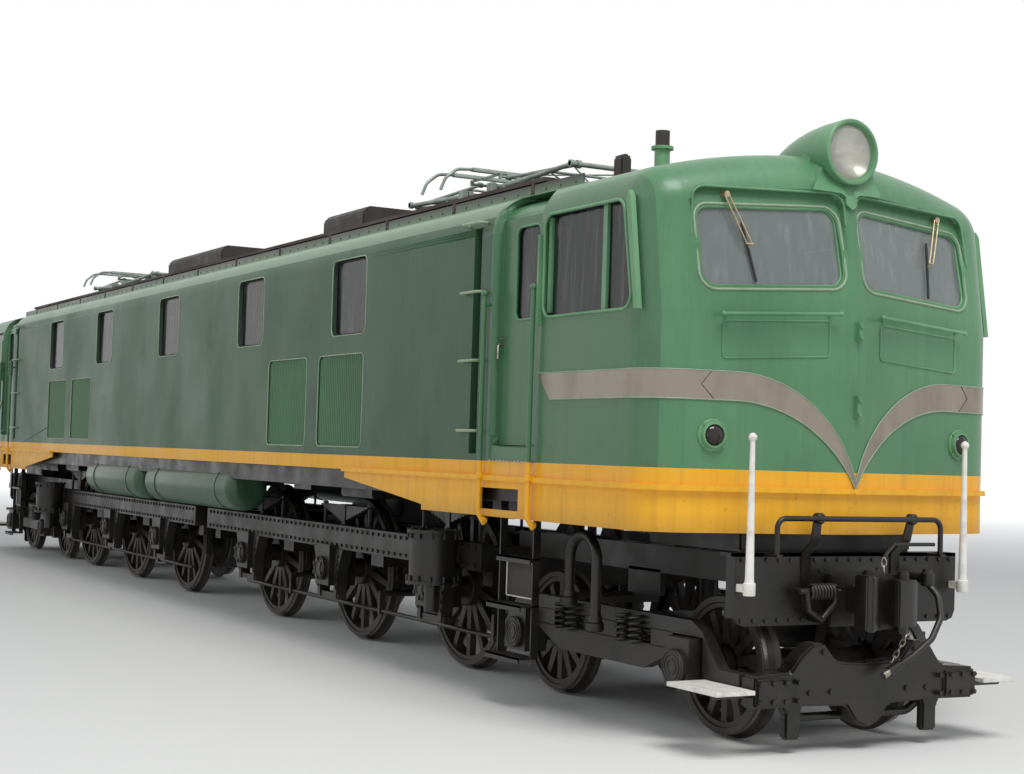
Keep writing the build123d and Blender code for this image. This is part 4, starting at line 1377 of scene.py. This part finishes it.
# Cab side windows: raised frame, seal, sash bars and rain strips
CAB_WINDOW = rounded([(8.030, 2.610), (9.100, 2.610), (8.980, 3.290), (8.030, 3.290)], 0.085)
SASHES = ((8.715, 8.765, 2.612, 3.288), (8.045, 8.085, 2.64, 3.27))
end_bars("cab_window_frames", on_walls([CAB_WINDOW], -0.001), 0.011, GREEN_BARE, closed=True)
end_bars("cab_window_seals", on_walls([CAB_WINDOW], 0.034), SEAL_R, RUBBER, closed=True, sides=6)
for end, way in ENDS:
    sashes = [above([(x0, y * (SIDE_Y - 0.045), z0), (x1, y * (SIDE_Y - 0.020), z1)], way)
              for y in (-1, 1) for x0, x1, z0, z1 in SASHES]
    blocks(f"{end}_cab_window_sashes", sashes, GREEN_BARE, bevel=0.002)


def rain_strips(mesh):
    for y in (-1, 1):
        for outline in (((9070, 3330), (9100, 3290), (9205, 2600), (9165, 2600), (9050, 3270)),
                        ((8000, 3160), (8012, 3160), (8022, 2560), (7992, 2560))):
            prism(mesh, outline, 1, y * 1398, y * 1434)


both_ends("rain_strips", rain_strips, GREEN_BARE, crease=30)

# Doors: window frame, pane, handle and curtain, riding on the door
DOOR_FACE = SIDE_Y - 0.057
DOOR_WINDOW = rounded(rectangle((7.725, 2.940), (0.330, 0.640)), 0.060)
DOOR_HANDLE = (((7.405, 0.002, 2.46), (7.405, -0.035, 2.46), (7.405, -0.042, 2.45), (7.405, -0.042, 2.36)),
               ((7.385, -0.020, 2.50), (7.440, -0.020, 2.50)), ((7.405, 0.002, 2.50), (7.405, -0.020, 2.50)))


def on_door(points, y, way):
    """Points of x, depth below the door's face and z, in the frame."""
    return above([(x, y * (DOOR_FACE - depth), z) for x, depth, z in points], way)


for end, way in ENDS:
    for y in (1, -1):
        body = f"{end}_door_{'left' if y * way == 1 else 'right'}"
        outline = [(x, 0.001, z) for x, z in DOOR_WINDOW]
        bars(f"{body}_window_frame", [on_door(outline, y, way)], 0.010, GREEN_BARE, body, closed=True)
        blocks(f"{body}_pane", [on_door([(7.56, 0.024, 2.62), (7.89, 0.018, 3.26)], y, way)], GLASS, body)
        bars(f"{body}_handle", [on_door(line, y, way) for line in DOOR_HANDLE], 0.009, BRIGHT, body, sides=6)
        curtain(f"{body}_curtain", 7.55, 7.90, y * (DOOR_FACE - 0.060), 2.60, 3.28, way, body)


# Windscreens: seal and lip round each pane, and a pair of wipers
def on_screen(y, z, out):
    """Point that stands out from the windscreen's outer face."""
    return (screen_x(y, RAIL + z) + out, y, z)


def on_wall(y, z, out):
    """Point that stands out from the cab's face round the windscreen, in the brow's recess or on the skin."""
    recess = max(0.0, BROW_SLOPE * (z - BROW_Z * MM) - 0.002)
    return (nose_x(y, RAIL + z, recess) + out, y, z)


seals, lips, arms, blades, feet = [], [], [], [], []
for y in (-1, 1):
    pane = rounded([(0.088, 2.812), (1.065, 2.754), (1.065, 3.243), (0.088, 3.300)], 0.090)
    seals.append([on_screen(y * a, z, 0.002) for a, z in pane])
    lip = rounded([(0.068, 2.790), (1.087, 2.730), (1.087, 3.264), (0.068, 3.322)], 0.105)
    lips.append([on_wall(y * a, z, 0.001) for a, z in lip])
    foot, tip = (y * 0.86, 3.335), (y * 0.74, 3.03)
    for offset in (-0.018, 0.018):
        start = (on_wall(*foot, 0.035)[0], foot[0] + offset, foot[1])
        arms.append([start, on_screen(tip[0] + offset, tip[1], 0.050)])
    arms.append([on_screen(tip[0] - 0.026, tip[1], 0.050), on_screen(tip[0] + 0.026, tip[1], 0.050)])
    arms.append([on_screen(*tip, 0.050), on_screen(y * 0.732, 3.01, 0.020)])
    blades.append([on_screen(y * 0.755, 3.17, 0.016), on_screen(y * 0.70, 2.80, 0.016)])
    feet.append([on_wall(*foot, -0.004), on_wall(*foot, 0.045)])
end_bars("screen_seals", seals, 0.009, GREEN_BARE, closed=True)
# The lips round the windscreens are pale green, a painted highlight
end_bars("screen_lips", lips, 0.009, GREEN_EDGE_HIGHLIGHT, closed=True)
end_bars("wiper_arms", arms, 0.0055, BRASS)
end_bars("wiper_blades", blades, 0.008, RUBBER)
end_bars("wiper_spindles", feet, 0.020, BRASS, sides=12)

# Whistles on the roof behind the near corner of each cab
for name, low, high, radius, material in (("whistle", 3.52, 3.75, 0.052, GREEN_BARE),
                                          ("whistle_flange", 3.745, 3.765, 0.075, GREEN_BARE),
                                          ("whistle_bell", 3.76, 3.87, 0.048, ROOF_GEAR)):
    end_bars(name, [[(8.42, -0.75, low), (8.42, -0.75, high)]], radius, material, sides=20)

# Rivets and bolts; the order of their places decides how each bolt head is spun
middle = AXLE_Z * MM
rim = above([(x, y * 1.099, 3.565) for x in rows(-7.9, 7.9, 80) for y in (-1, 1)])
scatter("rim_rivets", rim, (0, -1, 0), 0.009, 0.010, GREEN_ROOF_DUST_AND_LIGHT, corners=8)
bolts, rings, flanges = [], [], []
for y in (-1, 1):
    for x in rows(0.3, 6.35, 56):
        bolts += [(x, y * 0.952, 0.985), (x, y * 0.952, 0.845)]
    for axle in (x * MM for x in DRIVER_X):
        for dx in (-0.200, 0.200):
            bolts += [(axle + dx * (1 + 0.5 * max(0.0, z - 0.5)), y * 0.952, z) for z in rows(0.46, 0.74, 5)]
        bolts += [(axle + a, y * 1.047, middle + b) for a, b in circle(0.085, 6, 30)]
        rings.append([(axle + a, y * 1.046, middle + b) for a, b in circle(0.060, 28)])
    for z in (0.715, 1.075):
        flanges += [(CYLINDER[0] * MM + a, y * (CYLINDER[1] * MM + b), z) for a, b in circle(0.196, 12)]
end_heads("frame_bolts", bolts, (0, 1, 0), 0.016, 0.020, FRAME, "{end}_truck")
end_bars("cover_rings", rings, 0.008, FRAME, "{end}_truck", closed=True)
end_heads("cylinder_bolts", flanges, (0, 0, 1), 0.012, 0.075, FRAME, "{end}_truck")
beam = [(9.502, y, z) for y in rows(-0.83, 0.83, 19) for z in (0.752, 1.115) if abs(y) > 0.23 or z > 1.05]
beam += [(9.502, y, z) for y in (-0.23, 0.23) for z in rows(0.80, 1.05, 4)]
end_heads("beam_rivets", beam, (1, 0, 0), 0.014, 0.018, FRAME, "{end}_truck", corners=10)
casting = [(9.724, s * y, z) for y in rows(0.56, 0.84, 4) for z in (0.300, 0.410) for s in (-1, 1)]
casting += [(9.702, s * y, z) for s in (-1, 1) for y, z in ((0.36, 0.58), (0.30, 0.34), (0.46, 0.34))]
end_heads("pilot_bolts", casting, (1, 0, 0), 0.017, 0.024, GEAR, "{end}_leading_truck")
covers = [[(x * MM + a, y * 0.9955, LEADER[0] * MM + b) for a, b in circle(radius, 28)]
          for x in LEADER_X for y in (-1, 1) for radius in (0.045, 0.075, 0.100)]
end_bars("leading_covers", covers, 0.006, FRAME, "{end}_leading_truck", closed=True)

# Springs: at the couplers and in the leading trucks' windows
SPRING_X, SPRING_Z = 9.60, 0.93
spring = coil((SPRING_X, -0.40, SPRING_Z), (SPRING_X, -0.21, SPRING_Z), 0.042, 8)
spring_rod = ((SPRING_X, -0.47, SPRING_Z), (SPRING_X, -0.16, SPRING_Z))
bracket = (((SPRING_X, -0.415, 0.95), (SPRING_X, -0.40, 0.82), (SPRING_X, -0.30, 0.76)),
           ((SPRING_X, -0.30, 0.76), (SPRING_X, -0.195, 0.86), (SPRING_X, -0.195, 0.95)),
           ((9.50, -0.415, SPRING_Z), (9.61, -0.415, SPRING_Z)), ((9.50, -0.30, 0.76), (9.61, -0.30, 0.76)))
end_bars("coupler_spring", [spring], 0.010, FRAME, "{end}_truck")
end_bars("spring_rod", [spring_rod], 0.016, FRAME, "{end}_truck")
end_bars("spring_bracket", bracket, 0.020, FRAME, "{end}_truck")
coils = [coil((LEAD_X * MM + x, y * 0.905, 0.50), (LEAD_X * MM + x, y * 0.905, 0.69), 0.045, 5)
         for y in (-1, 1) for x in (-0.47, -0.31, 0.31, 0.47)]
end_bars("leading_springs", coils, 0.011, FRAME, "{end}_leading_truck")


# Uncoupling lever, chains and the hook that holds the brake hose
LINK_PITCH = 0.045


def chain_links(points):
    """Oval links along a line of points, each turned a quarter round from the last."""
    loops = []
    points = [Vector(p) for p in points]
    lengths = [(b - a).length for a, b in zip(points, points[1:])]
    for number in range(int(sum(lengths) / LINK_PITCH)):
        reach = (number + 0.5) * LINK_PITCH
        for a, b, length in zip(points, points[1:], lengths):
            if reach <= length:
                break
            reach -= length
        centre = a.lerp(b, min(1.0, reach / length))
        along = (b - a).normalized()
        side = along.orthogonal().normalized()
        if number % 2:
            side = along.cross(side)
        loops.append([centre + 0.030 * a * along + 0.014 * b * side for a, b in circle(1.0, 12)])
    return loops


LEVER = ((9.602, 0.60, 1.215), (9.602, 0.27, 1.215), (9.62, 0.20, 1.17), (9.72, 0.08, 1.14))
CHAINS = (((9.72, 0.08, 1.135), (9.735, 0.07, 1.03)),
          ((9.56, 0.345, 0.75), (9.745, 0.26, 0.68), (9.785, 0.09, 0.50)))
end_bars("uncoupling_lever", [LEVER], 0.012, GEAR, "{end}_truck")
for end, way in ENDS:
    links = [link for line in CHAINS for link in chain_links(above(line, way))]
    bars(f"{end}_chains", links, 0.005, BRIGHT, f"{end}_truck", closed=True, sides=6)
end_bars("chain_eye", [[(9.50, 0.37, 0.78), (9.56, 0.345, 0.75)]], 0.012, GEAR, "{end}_truck")
end_bars("hose_nozzle", [[(9.790, 0.085, 0.462), (9.790, 0.030, 0.436)]], 0.024, BRIGHT, "{end}_truck", sides=12)

# Shelf of each pantograph: springs round the rods, feed cable and its clamps
CABLE = ((0.68, 0.46, 3.850), (0.85, 0.46, 3.865), (1.15, 0.46, 3.80), (1.40, 0.45, 3.70), (1.45, 0.42, 3.60))
for end, way in ENDS:
    x, shaft = way * PANTO_X * MM, RAIL + SHAFT_H * MM
    coils = [coil((x - 0.165, y, shaft), (x + 0.165, y, shaft), 0.036, 14) for y in (-0.18, 0.18)]
    bars(f"{end}_pantograph_springs", coils, 0.008, FRAME)
    bars(f"{end}_feed_cable", [[(x - way * a, y, RAIL + z) for a, y, z in CABLE]], 0.016, RUBBER)
    places = [(x + dx, y + dy, RAIL + 3.845) for dx in (-0.5, 0.5) for y in (-0.48, 0.48) for dy in (-0.022, 0.022)]
    scatter(f"{end}_clamp_bolts", places, (0, 0, 1), 0.012, 0.02, STEEL)

# Step treads below the doors, and plates on the ladders
PLATE_EDGE = rounded(rectangle((7.48, 0.84), (0.38, 0.24)), 0.012, 3)
for end, way in ENDS:
    for y in (-1, 1):
        side = "left" if y * way > 0 else "right"
        slats = [above([(x, y * 1.395, 1.653), (x + 0.035, y * 1.425, 1.660)], way) for x in rows(7.38, 7.93, 12)]
        blocks(f"{end}_threshold_{side}", slats, BRIGHT, bevel=0.001)
        plate = above([(7.29, y * 1.190, 0.72), (7.67, y * 1.194, 0.96)], way)
        blocks(f"{end}_ladder_plate_{side}", [plate], ROOF_GEAR, bevel=0.001)
        edge = above([(a, y * 1.195, b) for a, b in PLATE_EDGE], way)
        bars(f"{end}_ladder_plate_edge_{side}", [edge], 0.006, WHITE, closed=True, sides=6)

# Seats: padded cushions on the stands
for end, way in ENDS:
    for hand, side in HANDS:
        y = 0.70 * side
        for part_name, low, high in (("seat", (8.148, y - 0.212, 2.062), (8.572, y + 0.212, 2.148)),
                                     ("back", (8.137, y - 0.198, 2.192), (8.203, y + 0.198, 2.568))):
            made = blocks(f"{end}_{part_name}_cushion_{hand}", [above([low, high], way)], LEATHER,
                          bevel=0.024, segments=4, crease=60)

# Floor, world and lamps
FLOOR, tree, shader, coordinates = blank("pale_floor")
reach = node(tree, "ShaderNodeVectorMath", {"operation": "LENGTH"}, i0=coordinates).outputs["Value"]
shine(tree, shader, Base_Color=linear("e9e9e6"), Roughness=0.95, Emission_Color=linear("ffffff"),
      Emission_Strength=ramp(tree, reach, 14.0, 55.0, 0.0, 0.9))
floor_mesh = bpy.data.meshes.new("floor")
floor_mesh.from_pydata([(-120, -120, 0), (120, -120, 0), (120, 120, 0), (-120, 120, 0)], [], [(0, 1, 2, 3)])
floor = bpy.data.objects.new("floor", floor_mesh)
bpy.context.scene.collection.objects.link(floor)
floor_mesh.materials.append(FLOOR)

# The world: white where it is seen, mirrored or looked through, and a dim bluish sky as a light
world = bpy.data.worlds.new("world")
bpy.context.scene.world = world
world.use_nodes = True
tree = world.node_tree
tree.nodes.clear()
rays = node(tree, "ShaderNodeLightPath")
sky = node(tree, "ShaderNodeBackground", Color=(0.80, 0.83, 0.88, 1), Strength=0.50)
white = node(tree, "ShaderNodeBackground", Color=(1, 1, 1, 1), Strength=1.0)
seen = math_node(tree, "MAXIMUM", rays.outputs["Is Camera Ray"], rays.outputs["Is Glossy Ray"])
seen = math_node(tree, "MAXIMUM", seen, rays.outputs["Is Transmission Ray"])
chosen = node(tree, "ShaderNodeMixShader", i0=seen, i1=sky.outputs[0], i2=white.outputs[0])
node(tree, "ShaderNodeOutputWorld", Surface=chosen.outputs[0])


def lamp(name, spot, target, size, watts):
    """Rectangular lamp at a spot, aimed at a target."""
    data = bpy.data.lights.new(name, "AREA")
    data.shape = "RECTANGLE"
    data.size, data.size_y = size
    data.energy = watts
    obj = bpy.data.objects.new(name, data)
    aim = (Vector(target) - Vector(spot)).to_track_quat("-Z", "Y")
    obj.matrix_world = Matrix.Translation(spot) @ aim.to_matrix().to_4x4()
    bpy.context.scene.collection.objects.link(obj)


lamp("key", (18, -2, 18), (7, 0, 2), (10, 8), 2400)
lamp("side", (2, -20, 15), (0, 0, 2), (22, 8), 560)
